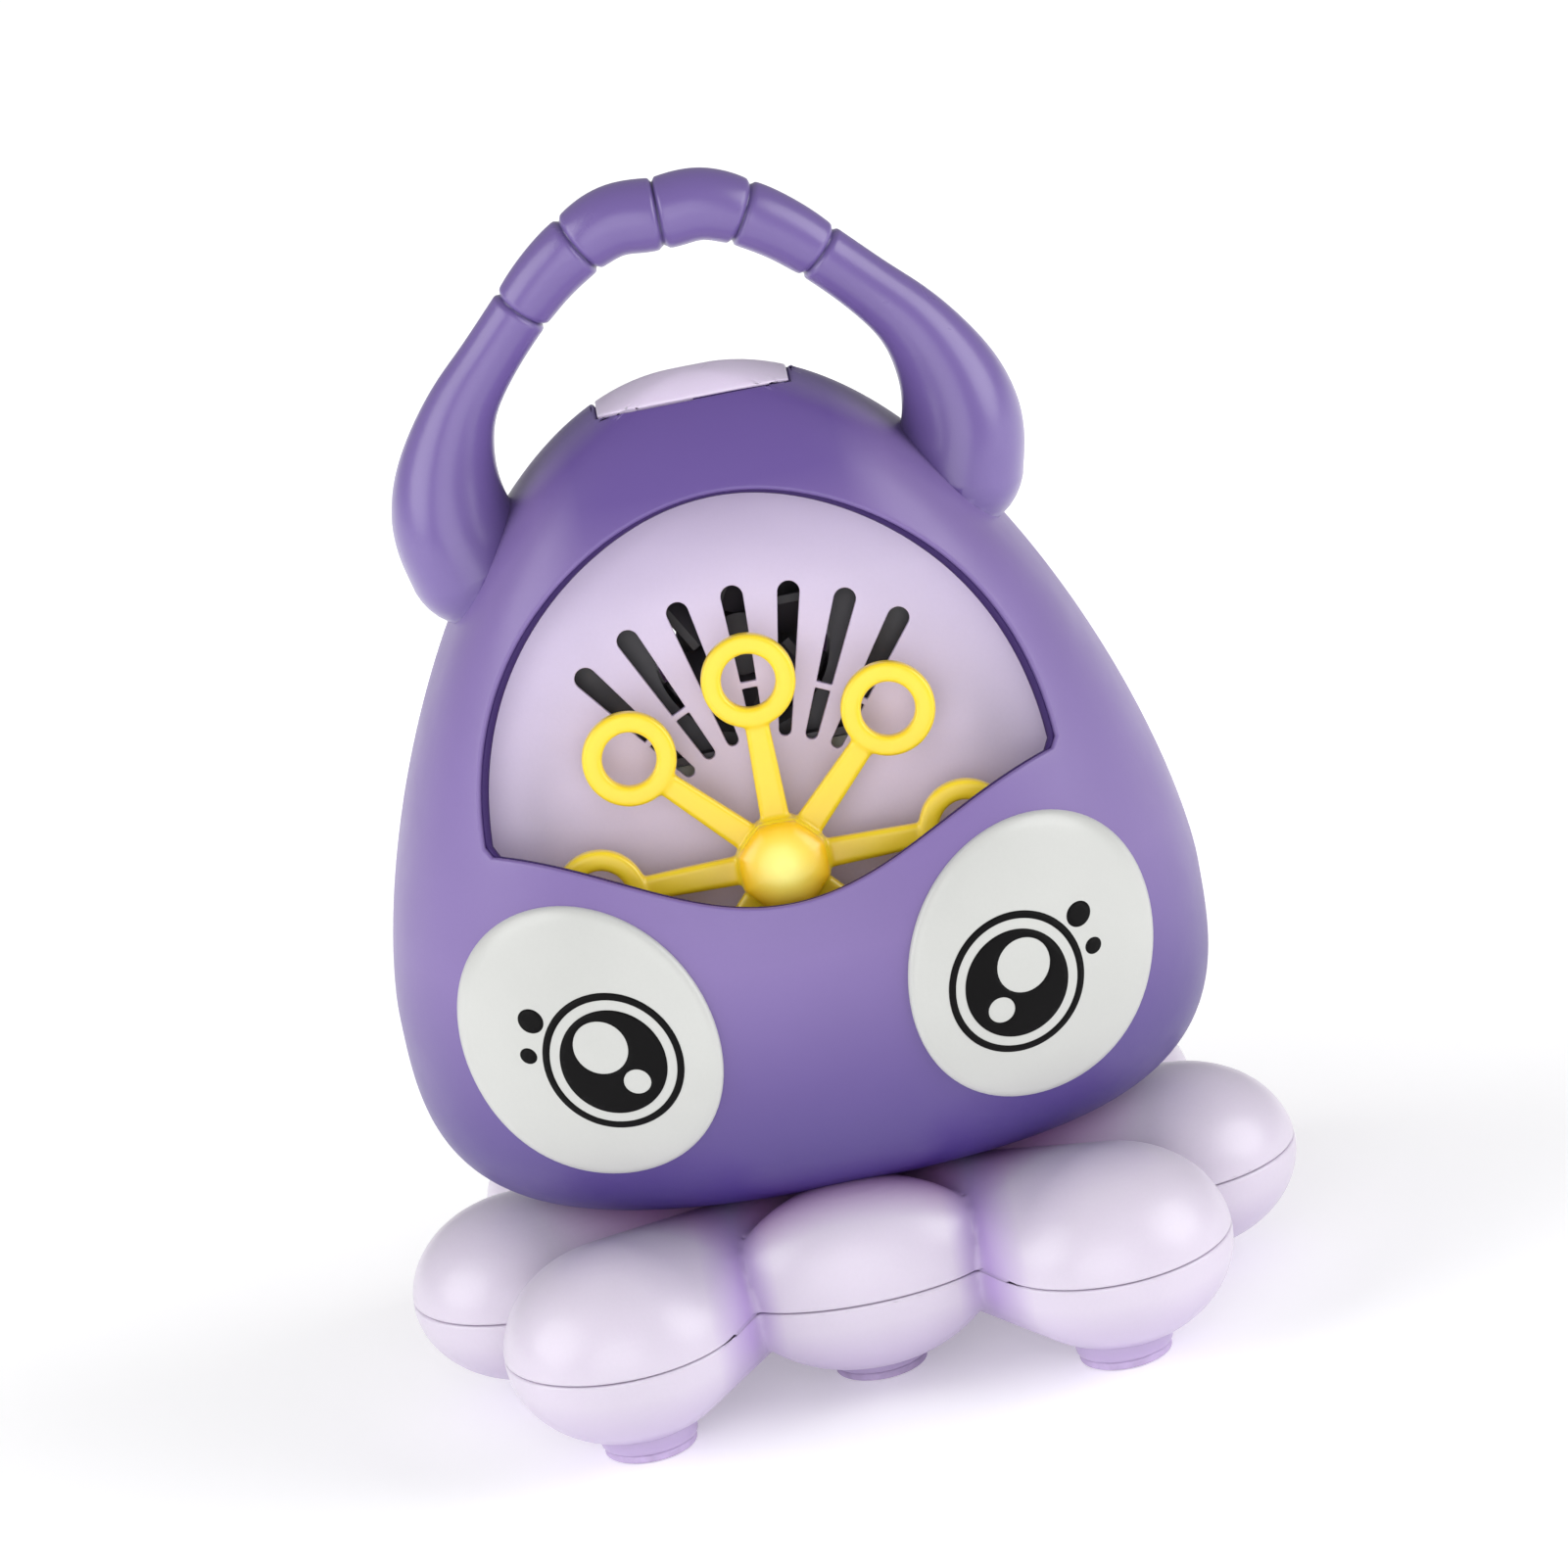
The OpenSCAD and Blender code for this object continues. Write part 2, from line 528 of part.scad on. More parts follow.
// ---------------------------------------------------------------- power
cell_r = 7.1;
cell_z = [for (i = [0:3]) 56.2 + 15 * i];
cell_y = 24.6;
box_low = 47.6;
box_high = 109.8;
box_half_w = 30;
contact_x = box_half_w - 1.5;   // the inner faces of the box's ends
box_y = [15.4, 32.6];
cell_room = 0.25;     // clearance round a cell
module battery_box() color(lilac) difference() {
    translate([-box_half_w, box_y[0], box_low])
        cube([2 * box_half_w, box_y[1] - box_y[0], box_high - box_low]);
    // A bevel under the lowest cell follows the rear shell.
    translate([-box_half_w - 1, 26, box_low]) rotate([46, 0, 0]) translate([0, 0, -20])
        cube([2 * box_half_w + 2, 20, 20]);
    for (z = cell_z) translate([-contact_x, cell_y, z]) {
        rotate([0, 90, 0]) cylinder(r = cell_r + cell_room, h = 2 * contact_x);
        translate([0, 0, -cell_r - cell_room]) cube([2 * contact_x, 20, 2 * (cell_r + cell_room)]);
    }
}
// Every other cell is turned round.
function cell_turn(i) = [0, i % 2 ? -90 : 90, 0];
module cells() for (i = [0:3]) translate([i % 2 ? -2.2 : 2.2, cell_y, cell_z[i]]) rotate(cell_turn(i)) {
    color([0.15, 0.15, 0.17]) translate([0, 0, -24.7]) cylinder(r = cell_r, h = 48.2);
    color(steel) translate([0, 0, 23.4]) cylinder(r = 2.7, h = 1.4);
}
spring_turns = 3;
spring_steps = 8;         // points in one turn
spring_sides = 3;
spring_wire = 0.35;
spring_r = [4.6, 2.6];    // at the foot and at the tip
// A cone spring along +Z, swept as one tube.
module cone_spring(height) {
    n = spring_turns * spring_steps;
    function coil_r(i) = spring_r[0] + (spring_r[1] - spring_r[0]) * i / n;
    function coil_z(i) = spring_wire + (height - 2 * spring_wire) * i / n;
    function coil_point(i, b) = let (a = 360 * i / spring_steps, r = coil_r(i) + spring_wire * cos(b))
        [r * cos(a), r * sin(a), coil_z(i) + spring_wire * sin(b)];
    points = [for (i = [0:n], k = [0:spring_sides - 1]) coil_point(i, 360 * k / spring_sides)];
    polyhedron(points = points, faces = concat(
        [[for (k = [spring_sides - 1:-1:0]) k]],
        [for (i = [0:n - 1], k = [0:spring_sides - 1]) let (k2 = (k + 1) % spring_sides)
            each [[i * spring_sides + k, (i + 1) * spring_sides + k2, (i + 1) * spring_sides + k],
                [i * spring_sides + k, i * spring_sides + k2, (i + 1) * spring_sides + k2]]],
        [[for (k = [0:spring_sides - 1]) n * spring_sides + k]]));
}
module battery_springs() color(steel) for (i = [0:3])
    translate([i % 2 ? contact_x - 0.55 : -contact_x + 0.55, cell_y, cell_z[i]])
        rotate(cell_turn(i)) cone_spring(4.9);
module battery_contacts() color(steel) for (i = [0:3], side = [-1, 1])
    translate([side * (contact_x - 0.25), cell_y, cell_z[i]]) cube([0.4, 10, 10], center = true);

door_screw_z = door_z[1] - 5;
door_gap = 0.35;
module battery_door() color(lilac) difference() {
    union() {
        intersection() { body_layer(0, wall); door_opening(door_gap); }
        intersection() {
            rod_y(0, door_screw_z, 30, 60, 4);
            body_layer(wall / 2, 5);
            door_opening(door_gap);
        }
    }
    rod_y(0, door_screw_z, 30, 60, 1.5);
    rod_y(0, door_screw_z, 44, 74, 2.8);
}
cross_slot = [3.6, 0.8];
module door_screw() color(steel) translate([0, 0, door_screw_z]) difference() {
    union() {
        rod_y(0, 0, 33.2, 44.2, 1.3);
        rod_y(0, 0, 44.1, 46, 2.5);
    }
    translate([0, 46.2, 0]) for (a = [0, 90]) rotate([0, a, 0])
        cube([cross_slot[0], 2, cross_slot[1]], center = true);
}
switch_box = [18, 9, 9];
switch_y = 30;
stem = [5.6, 13.5, 4];    // the slider inside the switch
thumb = [8, 2.6, 6.4];    // the ribbed button outside
module switch_body() color([0.2, 0.2, 0.22]) difference() {
    translate([-switch_box[0] / 2, switch_y, switch_z - switch_box[2] / 2]) cube(switch_box);
    translate([-3.3 - switch_travel / 2, switch_y + 3, switch_z - 2.2]) cube([6.6 + switch_travel, 10, 4.4]);
}
module switch_knob() color(yellow) translate([-switch_travel / 2, 0, switch_z]) {
    translate([-stem[0] / 2, 33.4, -stem[2] / 2]) cube(stem);
    difference() {
        translate([-thumb[0] / 2, 46, -thumb[2] / 2]) cube(thumb);
        for (x = [-2.4:1.2:2.4]) translate([x - 0.25, 48.2, -4]) cube([0.5, 2, 8]);
    }
}
module switch_screws() color(steel) for (s = [-1, 1])
    rod_y(s * 7, switch_z, switch_y + switch_box[1] + 0.05, switch_y + switch_box[1] + 1.4, 1.4);

// ---------------------------------------------------------------- leads
lead_r = 0.8;
lead_sides = 8;
// A tube along a list of points, with rings square to the path.
module lead(path) {
    n = len(path) - 1;
    function unit(v) = v / norm(v);
    function dir(i) = unit(path[min(i + 1, n)] - path[max(i - 1, 0)]);
    function across(i) = unit(cross(dir(i), [0.31, 0.2, 0.93]));
    points = [for (i = [0:n]) let (u = across(i), v = cross(dir(i), u))
        each [for (k = [0:lead_sides - 1]) path[i] + lead_r * (cos(360 * k / lead_sides) * u
            + sin(360 * k / lead_sides) * v)]];
    polyhedron(points = points, faces = concat(
        [[for (k = [lead_sides - 1:-1:0]) k]],
        [for (i = [0:n - 1], k = [0:lead_sides - 1]) let (k2 = (k + 1) % lead_sides)
            each [[i * lead_sides + k, (i + 1) * lead_sides + k2, (i + 1) * lead_sides + k],
                [i * lead_sides + k, i * lead_sides + k2, (i + 1) * lead_sides + k2]]],
        [[for (k = [0:lead_sides - 1]) n * lead_sides + k]]));
}
// From the cells to the switch, and from the cells to the fan motor.
red_route = [[-33, 24, 98], [-34, 24, 104], [-34, 24.5, 110], [-31, 26, 115], [-25, 28, 118.5],
    [-17, 30, 120.5], [-9.2, 32, 121]];
black_route = [[33, 24, 98], [34, 23, 106], [34, 20, 114], [31, 18, 121], [25, 18, 127],
    [18, 20, 131], [11, 21, 134]];
module lead_red() color("red") lead(red_route);
module lead_black() color([0.1, 0.1, 0.1]) lead(black_route);

module shell_screws() color(steel) for (side = [-1, 1], s = screw_spots) {
    rod_y(side * s[0], s[1], split_y - 12, split_y + 6.1, screw_r);
    rod_y(side * s[0], s[1], split_y + 6.05, split_y + 8, 2.8);
}

// ---------------------------------------------------------------- base
// Each row is a lobe: its x, its distance in front of the axis, its height, its three half sizes,
// and the share of its distance from the axis at which its foot stands.
lobes = [
    [0, 30, 23, 25.5, 13.5, 18.8, 0.65],
    [48, 38.5, 22.8, 23.8, 23, 19.6, 0.98],
    [65, 0, 22.5, 23.4, 22, 18.2, 0.92]];
lobe_set = [for (l = lobes, s = l[0] > 0 ? [-1, 1] : [1], t = l[1] > 0 ? [-1, 1] : [1])
    concat([s * l[0], t * l[1]], [for (k = [2:6]) l[k]])];
hub_radii = [9, 8, 12.4];   // half sizes of the middle that the tentacles run to
module ellipsoid(x, y, z, a, b, c, n = 16) translate([x, y, z]) scale([a, b, c]) sphere(r = 1, $fn = n);
// Each tentacle runs from its lobe to the deck under the body.
module base_solid(inset, n = 16) {
    for (l = lobe_set) hull() {
        ellipsoid(l[0], -l[1], l[2], l[3] - inset, l[4] - inset, l[5] - inset, n);
        ellipsoid(0.1 * l[0], 0, seam_z - 1.5, hub_radii[0] - inset, hub_radii[1] - inset,
            hub_radii[2] - inset, n);
    }
}
module base_shell() difference() { base_solid(0); base_solid(base_wall, 8); }
base_posts = [for (s = [-1, 1], t = [-1, 1]) [s * 34, t * 25]];
module posts(r, z0, z1) for (p = base_posts)
    translate([p[0], p[1], z0]) cylinder(r = r, h = z1 - z0, $fn = 20);
module neck(r, z, h) translate([0, 0, z]) cylinder(r = r, h = h, $fn = 40);
module base_upper() color(lilac) difference() {
    union() {
        difference() {
            union() {
                intersection() {
                    base_shell();
                    translate([-big / 2, -big / 2, seam_z + 0.05]) cube([big, big, big]);
                }
                intersection() { posts(4, seam_z + 0.05, 40); base_solid(base_wall / 2); }
            }
            body_solid(-0.3);
        }
        // The neck, and the flange that holds it inside the body.
        neck(neck_r, 32, 12.4);
        neck(neck_r + 3, 42, 2.4);
    }
    neck(neck_r - 2, 28, 20);
    posts(1.2, seam_z - 1, 32.4);
}
function foot_spots() = [for (l = lobe_set) [l[0] * l[6], -l[1] * l[6]]];
module base_lower() color(lilac) difference() {
    union() {
        intersection() {
            base_shell();
            translate([-big / 2, -big / 2, seam_z - 0.05 - big]) cube([big, big, big]);
        }
        difference() {
            for (f = foot_spots()) translate([f[0], f[1], 1.65]) cylinder(r = foot_r, h = 8, $fn = 32);
            base_solid(base_wall / 2);
        }
        intersection() { posts(4.6, 5, seam_z - 0.05); base_solid(base_wall / 2); }
    }
    posts(1.7, 0, seam_z + 1);
    posts(3.4, 0, 12.2);
}
module base_screws() color(steel) for (p = base_posts) translate([p[0], p[1], 0]) {
    translate([0, 0, 12.05]) cylinder(r = screw_r, h = 20);
    translate([0, 0, 9.6]) cylinder(r = 3, h = 2.5);
}
module foot_pads() color([0.72, 0.62, 0.80]) for (f = foot_spots()) translate([f[0], f[1], 0])
    cylinder(r = foot_r - 0.5, h = 1.6);

front_shell();
rear_shell();
handle();
eye(-1);  // eye_left
eye(1);  // eye_right
eye_print(-1);  // eye_print_left
eye_print(1);  // eye_print_right
air_panel();
axle_seal();
solution_tank();
wand_wheel();
hub_cap();
wheel_axle();
output_gear();
gear_b();
gear_a();
drive_pinion();
gear_pins();
gearbox_case();
gearbox_cover();
gearbox_screws();
drive_motor();
air_duct();
duct_screws();
fan_rotor();
fan_shaft();
fan_motor();
motor_bracket();
battery_box();
cells();
battery_springs();
battery_contacts();
battery_door();
door_screw();
switch_body();
switch_knob();
switch_screws();
lead_red();
lead_black();
shell_screws();
base_upper();
base_lower();
base_screws();
foot_pads();
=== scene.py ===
"""Looks of the octopus bubble blower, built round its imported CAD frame. Metres, +Z up, face to -Y."""

import json
import math

import bmesh
import bpy
import numpy as np
from mathutils import Matrix, Vector
from mathutils.geometry import delaunay_2d_cdt


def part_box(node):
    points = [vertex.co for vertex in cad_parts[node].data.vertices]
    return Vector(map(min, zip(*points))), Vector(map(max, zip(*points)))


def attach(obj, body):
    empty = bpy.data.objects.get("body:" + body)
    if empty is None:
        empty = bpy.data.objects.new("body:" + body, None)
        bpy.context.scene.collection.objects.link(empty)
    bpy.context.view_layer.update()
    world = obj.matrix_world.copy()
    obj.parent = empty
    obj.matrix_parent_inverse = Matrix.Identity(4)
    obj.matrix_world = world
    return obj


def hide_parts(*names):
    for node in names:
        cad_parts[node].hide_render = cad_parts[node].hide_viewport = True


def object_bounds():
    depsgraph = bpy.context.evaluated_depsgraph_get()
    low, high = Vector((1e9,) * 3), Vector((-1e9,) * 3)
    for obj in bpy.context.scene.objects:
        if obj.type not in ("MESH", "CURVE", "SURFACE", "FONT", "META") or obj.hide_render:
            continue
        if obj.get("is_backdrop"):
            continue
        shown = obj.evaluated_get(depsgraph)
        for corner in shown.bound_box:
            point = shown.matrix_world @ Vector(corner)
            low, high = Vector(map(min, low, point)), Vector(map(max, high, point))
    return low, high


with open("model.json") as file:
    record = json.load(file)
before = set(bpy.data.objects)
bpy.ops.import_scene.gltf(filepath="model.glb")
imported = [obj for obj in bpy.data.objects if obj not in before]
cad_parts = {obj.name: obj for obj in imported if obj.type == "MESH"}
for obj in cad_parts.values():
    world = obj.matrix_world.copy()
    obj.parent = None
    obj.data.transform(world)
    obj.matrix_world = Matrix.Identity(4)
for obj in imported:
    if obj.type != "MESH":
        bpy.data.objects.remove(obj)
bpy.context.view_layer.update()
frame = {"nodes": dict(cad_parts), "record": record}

MM = 0.001
NODES = frame["nodes"]

# ---------------------------------------------------------------- driving sizes
HALF_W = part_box("front_shell")[1].x
FRONT = -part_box("front_shell")[0].y
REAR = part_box("rear_shell")[1].y
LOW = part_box("front_shell")[0].z
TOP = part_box("rear_shell")[1].z
MID = 85 * MM                       # height of the widest section
WALL = 2 * MM
SPLIT_Y = 10 * MM
SEAM_GAP = 0.2 * MM                 # half of the gap along a seam
CREST_Z, CREST_SLOPE, CREST_HALF = 195.8 * MM, 0.344, 19 * MM

WINDOW_HALF, WINDOW_RISE, WINDOW_Z, LIP_Z = 56 * MM, 61 * MM, 124 * MM, 112.3 * MM
EYE = {"x": 43 * MM, "z": 87.5 * MM, "w": 24.6 * MM, "h": 28.6 * MM, "proud": 1.6 * MM, "skew": 0.04}
DOOR_HALF, DOOR_Z, DOOR_GAP = 32 * MM, (50 * MM, 111 * MM), 0.35 * MM
SWITCH_Z = 121 * MM
SCREWS = [(60 * MM, 72 * MM), (61 * MM, 128 * MM), (15 * MM, 188.5 * MM)]
SEAM_Z = 23.6 * MM
FOOT_R = 9.6 * MM
SCREW_HOLE_R, WELL_IN, WELL_OUT, WELL_END = 1.7 * MM, 3.2 * MM, 3.6 * MM, 1.2 * MM
HANDLE_Y = 3 * MM

WAND_R, RING_R, RING_HOLE, WHEEL_T, HUB_R = 35.6 * MM, 9.1 * MM, 5.2 * MM, 4.6 * MM, 8.6 * MM
LEAN = math.radians(12)
DRIVE = Matrix.Translation((0, -36 * MM, 112.7 * MM)) @ Matrix.Rotation(-LEAN, 4, "X")


# ---------------------------------------------------------------- body surface
def share(z, inset, power):
    """Share of the widest section at height z, for a surface `inset` inside the body."""
    z = np.asarray(z, float)
    up = np.clip((z - MID) / (TOP - inset - MID), 0, 1)
    down = np.clip((MID - z) / (MID - LOW - inset), 0, 1)
    return np.where(z >= MID, (1 - up**1.5) ** 0.526, (1 - down**power) ** (1 / power))


def squareness(z):
    """The superellipse's power: 2.2 low down, and squarer towards the crown."""
    return 2.2 + 2.4 * np.clip((z - MID) / (TOP - MID), 0, 1) ** 3


def half_sizes(z, inset, rear):
    """Half width and half depth of the section at height z."""
    depth = np.where(rear, REAR, FRONT) - inset
    return share(z, inset, 3.2) * (HALF_W - inset), share(z, inset, 2) * depth


def body_point(a, z, inset=0.0):
    """Points at angles a (radians, 0 at +X, -90 degrees at the front) and heights z."""
    c, s = np.cos(a), np.sin(a)
    w, d = half_sizes(z, inset, s > 0)
    e = 2 / squareness(z)
    return np.stack([w * np.sign(c) * np.abs(c) ** e, d * np.sign(s) * np.abs(s) ** e, z + 0 * c], -1)


def body_y(x, z, inset=0.0, side=-1):
    """y of the body's front (side -1) or rear (side 1) at x and z."""
    w, d = half_sizes(z, inset, side > 0)
    n = squareness(z)
    return side * d * (1 - np.clip(np.abs(x) / np.maximum(w, 1e-9), 0, 1) ** n) ** (1 / n)


def angle_at(x, z, side):
    """The angle of the surface point at x and z on the front or rear side."""
    w, d = half_sizes(z, 0.0, side > 0)
    n = squareness(z)
    c = np.clip(np.abs(x) / np.maximum(w, 1e-9), 0, 1) ** (n / 2)
    return np.arctan2(side * np.sqrt(1 - c**2), np.sign(x) * c)


def outside_by(x, y, z):
    """Above 0 where a point is outside the body."""
    w, d = half_sizes(z, 0.0, y > 0)
    n = squareness(z)
    return (np.abs(x) / np.maximum(w, 1e-6)) ** n + (np.abs(y) / np.maximum(d, 1e-6)) ** n - 1


def solve(f, lo, hi):
    """Where f crosses 0 between lo and hi, by halving."""
    lo, hi = np.asarray(lo, float) + 0 * f(lo), np.asarray(hi, float) + 0 * f(lo)
    for _ in range(50):
        mid = (lo + hi) / 2
        inside = f(mid) < 0
        lo, hi = np.where(inside, mid, lo), np.where(inside, hi, mid)
    return (lo + hi) / 2


# The sheet's flat plan: u runs round the body, v up its front meridian.
ROUND_R = 68 * MM
_a = np.linspace(-math.pi / 2, math.pi / 2, 4001)
_z = np.where(_a < 0, MID + (MID - LOW) * np.sin(_a), MID + (TOP - MID) * np.sin(_a))
_yz = np.stack([body_y(0 * _z, _z), _z], 1)
_v = np.concatenate([[0], np.cumsum(np.linalg.norm(np.diff(_yz, axis=0), axis=1))])


def v_of(z):
    """Length along the front meridian at height z."""
    return np.interp(z, _z, _v)


def z_of(v):
    """Height at length v along the front meridian."""
    return np.interp(v, _v, _z)


def plan(a, z, middle):
    """Flat plan of surface points, with u = 0 at the angle `middle`."""
    turn = (np.asarray(a) - middle + math.pi) % (2 * math.pi) - math.pi
    return np.stack([ROUND_R * turn, v_of(z)], -1)


def lift(middle, inset=0.0):
    """From the flat plan to the body's surface, or to `inset` inside it."""
    return lambda uv: body_point(uv[:, 0] / ROUND_R + middle, z_of(uv[:, 1]), inset)


def seam_y(z):
    """Where the shells meet: it runs further back over the shoulders."""
    t = np.clip((np.asarray(z, float) - 172 * MM) / (20 * MM), 0, 1)
    return SPLIT_Y + 6 * MM * t * t * (3 - 2 * t)


# ---------------------------------------------------------------- outlines
def dense(points, step=1.2 * MM, closed=True):
    """The same outline with points at most `step` apart."""
    points = np.asarray(points, float)
    out = []
    for p, q in zip(points, np.roll(points, -1, 0) if closed else points[1:]):
        n = max(1, int(math.ceil(np.linalg.norm(q - p) / step)))
        out += [p + (q - p) * k / n for k in range(n)]
    if not closed:
        out.append(points[-1])
    return np.array(out)


def round_rect(x0, x1, z0, z1, r, n=6):
    """A rectangle with round corners, from its lower right corner on."""
    left, right, low, high = x0 + r, x1 - r, z0 + r, z1 - r
    pts = []
    for cx, cz, a0 in ((right, low, -90), (right, high, 0), (left, high, 90), (left, low, 180)):
        for k in range(n + 1):
            a = math.radians(a0 + 90 * k / n)
            pts.append((cx + r * math.cos(a), cz + r * math.sin(a)))
    return np.array(pts)


def circle(x, z, r, n=40, squash=1.0):
    a = np.linspace(0, 2 * math.pi, n, endpoint=False)
    return np.stack([x + r * np.cos(a), z + squash * r * np.sin(a)], 1)


def window_outline(grow=0.0, lip_grow=None):
    """The window's edge, moved outwards by `grow`, and by `lip_grow` along the lip."""
    down = grow if lip_grow is None else lip_grow
    a = np.radians(np.linspace(2.4, 177.6, 110))
    arc = np.stack([(WINDOW_HALF + grow) * np.cos(a), WINDOW_Z + (WINDOW_RISE + grow) * np.sin(a)], 1)
    x = np.linspace(-1, 1, 90)[1:-1] * (WINDOW_HALF + grow)
    sag = (1 - np.cos(math.pi * np.clip(x / WINDOW_HALF, -1, 1))) / 2
    z = LIP_Z + (WINDOW_Z + 2.5 * MM - LIP_Z) * sag
    return np.concatenate([arc, np.stack([x, z - down], 1)])


def eye_outline(side, n=96):
    """An eye plate's edge: a slightly skewed ellipse."""
    a = np.linspace(0, 2 * math.pi, n, endpoint=False)
    k = EYE["skew"]
    x = EYE["x"] + EYE["w"] * (math.sqrt(1 - k * k) * np.cos(a) + k * np.sin(a))
    return np.stack([side * x, EYE["z"] + EYE["h"] * np.sin(a)], 1)


def inside(points, outline):
    """Even-odd test of many points against one outline."""
    x, y = points[:, 0][:, None], points[:, 1][:, None]
    p, q = outline, np.roll(outline, -1, 0)
    cross = (p[:, 1] > y) != (q[:, 1] > y)
    rise = np.where(q[:, 1] == p[:, 1], 1e-12, q[:, 1] - p[:, 1])
    at = (q[:, 0] - p[:, 0]) * (y - p[:, 1]) / rise + p[:, 0]
    return (cross & (x < at)).sum(1) % 2 == 1


# ---------------------------------------------------------------- meshes
def linked(name, data):
    """A new object in the scene."""
    obj = bpy.data.objects.new(name, data)
    bpy.context.scene.collection.objects.link(obj)
    return obj


def from_bmesh(name, bm):
    """A new object with the bmesh's mesh."""
    mesh = bpy.data.meshes.new(name)
    bm.to_mesh(mesh)
    bm.free()
    return linked(name, mesh)


def add(name, verts, faces):
    """A smooth-shaded object from points and faces."""
    mesh = bpy.data.meshes.new(name)
    mesh.from_pydata([tuple(v) for v in verts], [], [tuple(int(i) for i in f) for f in faces])
    mesh.validate()
    mesh.shade_smooth()
    return linked(name, mesh)


def face_out(obj, centre):
    """Turns a sheet's faces away from a point."""
    bm = bmesh.new()
    bm.from_mesh(obj.data)
    bmesh.ops.remove_doubles(bm, verts=bm.verts, dist=0.02 * MM)
    bmesh.ops.recalc_face_normals(bm, faces=bm.faces)
    c = Vector(centre)
    if sum(f.normal.dot(f.calc_center_median() - c) * f.calc_area() for f in bm.faces) < 0:
        bmesh.ops.reverse_faces(bm, faces=bm.faces)
    bm.to_mesh(obj.data)
    bm.free()
    obj.data.shade_smooth()


def sheet(name, outer, holes, lifted, step=2.0 * MM, centre=(0, 0, 0.1)):
    """A smooth sheet: the inside of `outer` less `holes`, triangulated in its plan and lifted."""
    loops = [outer, *holes]
    edge_points = np.concatenate(loops)
    lo, hi = outer.min(0), outer.max(0)
    gx = np.arange(lo[0] + step / 2, hi[0], step)
    gy = np.arange(lo[1] + step / 2, hi[1], step * 0.866)
    xx, yy = np.meshgrid(gx, gy)
    xx[1::2] += step / 2
    grid = np.stack([xx.ravel(), yy.ravel()], 1)
    grid = grid[inside(grid, outer)]
    for h in holes:
        grid = grid[~inside(grid, h)]
    near = np.full(len(grid), 1e9)
    for k in range(0, len(edge_points), 200):
        part = edge_points[k:k + 200]
        near = np.minimum(near, np.linalg.norm(grid[:, None] - part[None], axis=2).min(1))
    grid = grid[near > 0.6 * step]
    edges, start = [], 0
    for loop in loops:
        n = len(loop)
        edges += [(start + i, start + (i + 1) % n) for i in range(n)]
        start += n
    flat = np.concatenate([edge_points, grid])
    made = delaunay_2d_cdt([Vector(p) for p in flat], edges, [], 0, 1e-7)
    uv = np.array([tuple(v) for v in made[0]])
    tris = np.array([f for f in made[2] if len(f) == 3])
    mid = uv[tris].mean(1)
    keep = inside(mid, outer)
    for h in holes:
        keep &= ~inside(mid, h)
    tris = tris[keep]
    used, index = np.unique(tris, return_inverse=True)
    obj = add(name, lifted(uv[used]), index.reshape(-1, 3))
    face_out(obj, centre)
    return obj


def modify(obj, kind, **values):
    """Adds a modifier with the given settings."""
    m = obj.modifiers.new(kind.lower(), kind)
    for k, v in values.items():
        setattr(m, k, v)
    return m


def thicken(obj, thickness, bevel=0.4 * MM, segments=2):
    """Makes a sheet a wall, inwards from its surface, with rounded edges."""
    modify(obj, "SOLIDIFY", thickness=thickness, offset=-1.0, use_even_offset=False)
    modify(obj, "BEVEL", width=bevel, segments=segments, limit_method="ANGLE",
           angle_limit=math.radians(50), use_clamp_overlap=False)
    modify(obj, "WEIGHTED_NORMAL", keep_sharp=False)


def settle(obj):
    """Applies the modifiers."""
    dg = bpy.context.evaluated_depsgraph_get()
    mesh = bpy.data.meshes.new_from_object(obj.evaluated_get(dg))
    obj.modifiers.clear()
    obj.data = mesh
    return obj


def strip(rings, closed=True, caps=False):
    """Faces between equal rings of points."""
    rings = [np.asarray(r) for r in rings]
    n = len(rings[0])
    verts = np.concatenate(rings)
    faces = []
    for i in range(len(rings) - 1):
        for k in range(n if closed else n - 1):
            k2 = (k + 1) % n
            faces.append((i * n + k, i * n + k2, (i + 1) * n + k2, (i + 1) * n + k))
    if caps:
        faces.append(tuple(range(n))[::-1])
        faces.append(tuple((len(rings) - 1) * n + k for k in range(n)))
    return verts, faces


def revolve(name, profile, matrix=Matrix.Identity(4), n=48):
    """A turned solid: profile rows are (radius, height along the local Z)."""
    a = np.linspace(0, 2 * math.pi, n, endpoint=False)
    rings = [np.stack([r * np.cos(a), r * np.sin(a), 0 * a + h], 1) for r, h in profile]
    verts, faces = strip(rings)
    obj = add(name, verts, faces)
    bm = bmesh.new()
    bm.from_mesh(obj.data)
    bmesh.ops.remove_doubles(bm, verts=bm.verts, dist=1e-6)
    if profile[0] == profile[-1] or (profile[0][0] < 1e-6 and profile[-1][0] < 1e-6):
        bmesh.ops.recalc_face_normals(bm, faces=bm.faces)
    bm.to_mesh(obj.data)
    bm.free()
    obj.data.transform(matrix)
    obj.data.shade_smooth()
    return obj


def rounded(profile, r, n=4):
    """A profile's inner corners replaced by small arcs."""
    out = [profile[0]]
    for p, q, s in zip(profile, profile[1:], profile[2:]):
        p, q, s = map(np.array, (p, q, s))
        a, b = p - q, s - q
        la, lb = np.linalg.norm(a), np.linalg.norm(b)
        t = min(r, la * 0.49, lb * 0.49)
        start, end = q + a / la * t, q + b / lb * t
        for k in range(n + 1):
            u = k / n
            out.append(tuple((1 - u) ** 2 * start + 2 * u * (1 - u) * q + u * u * end))
    out.append(profile[-1])
    return out


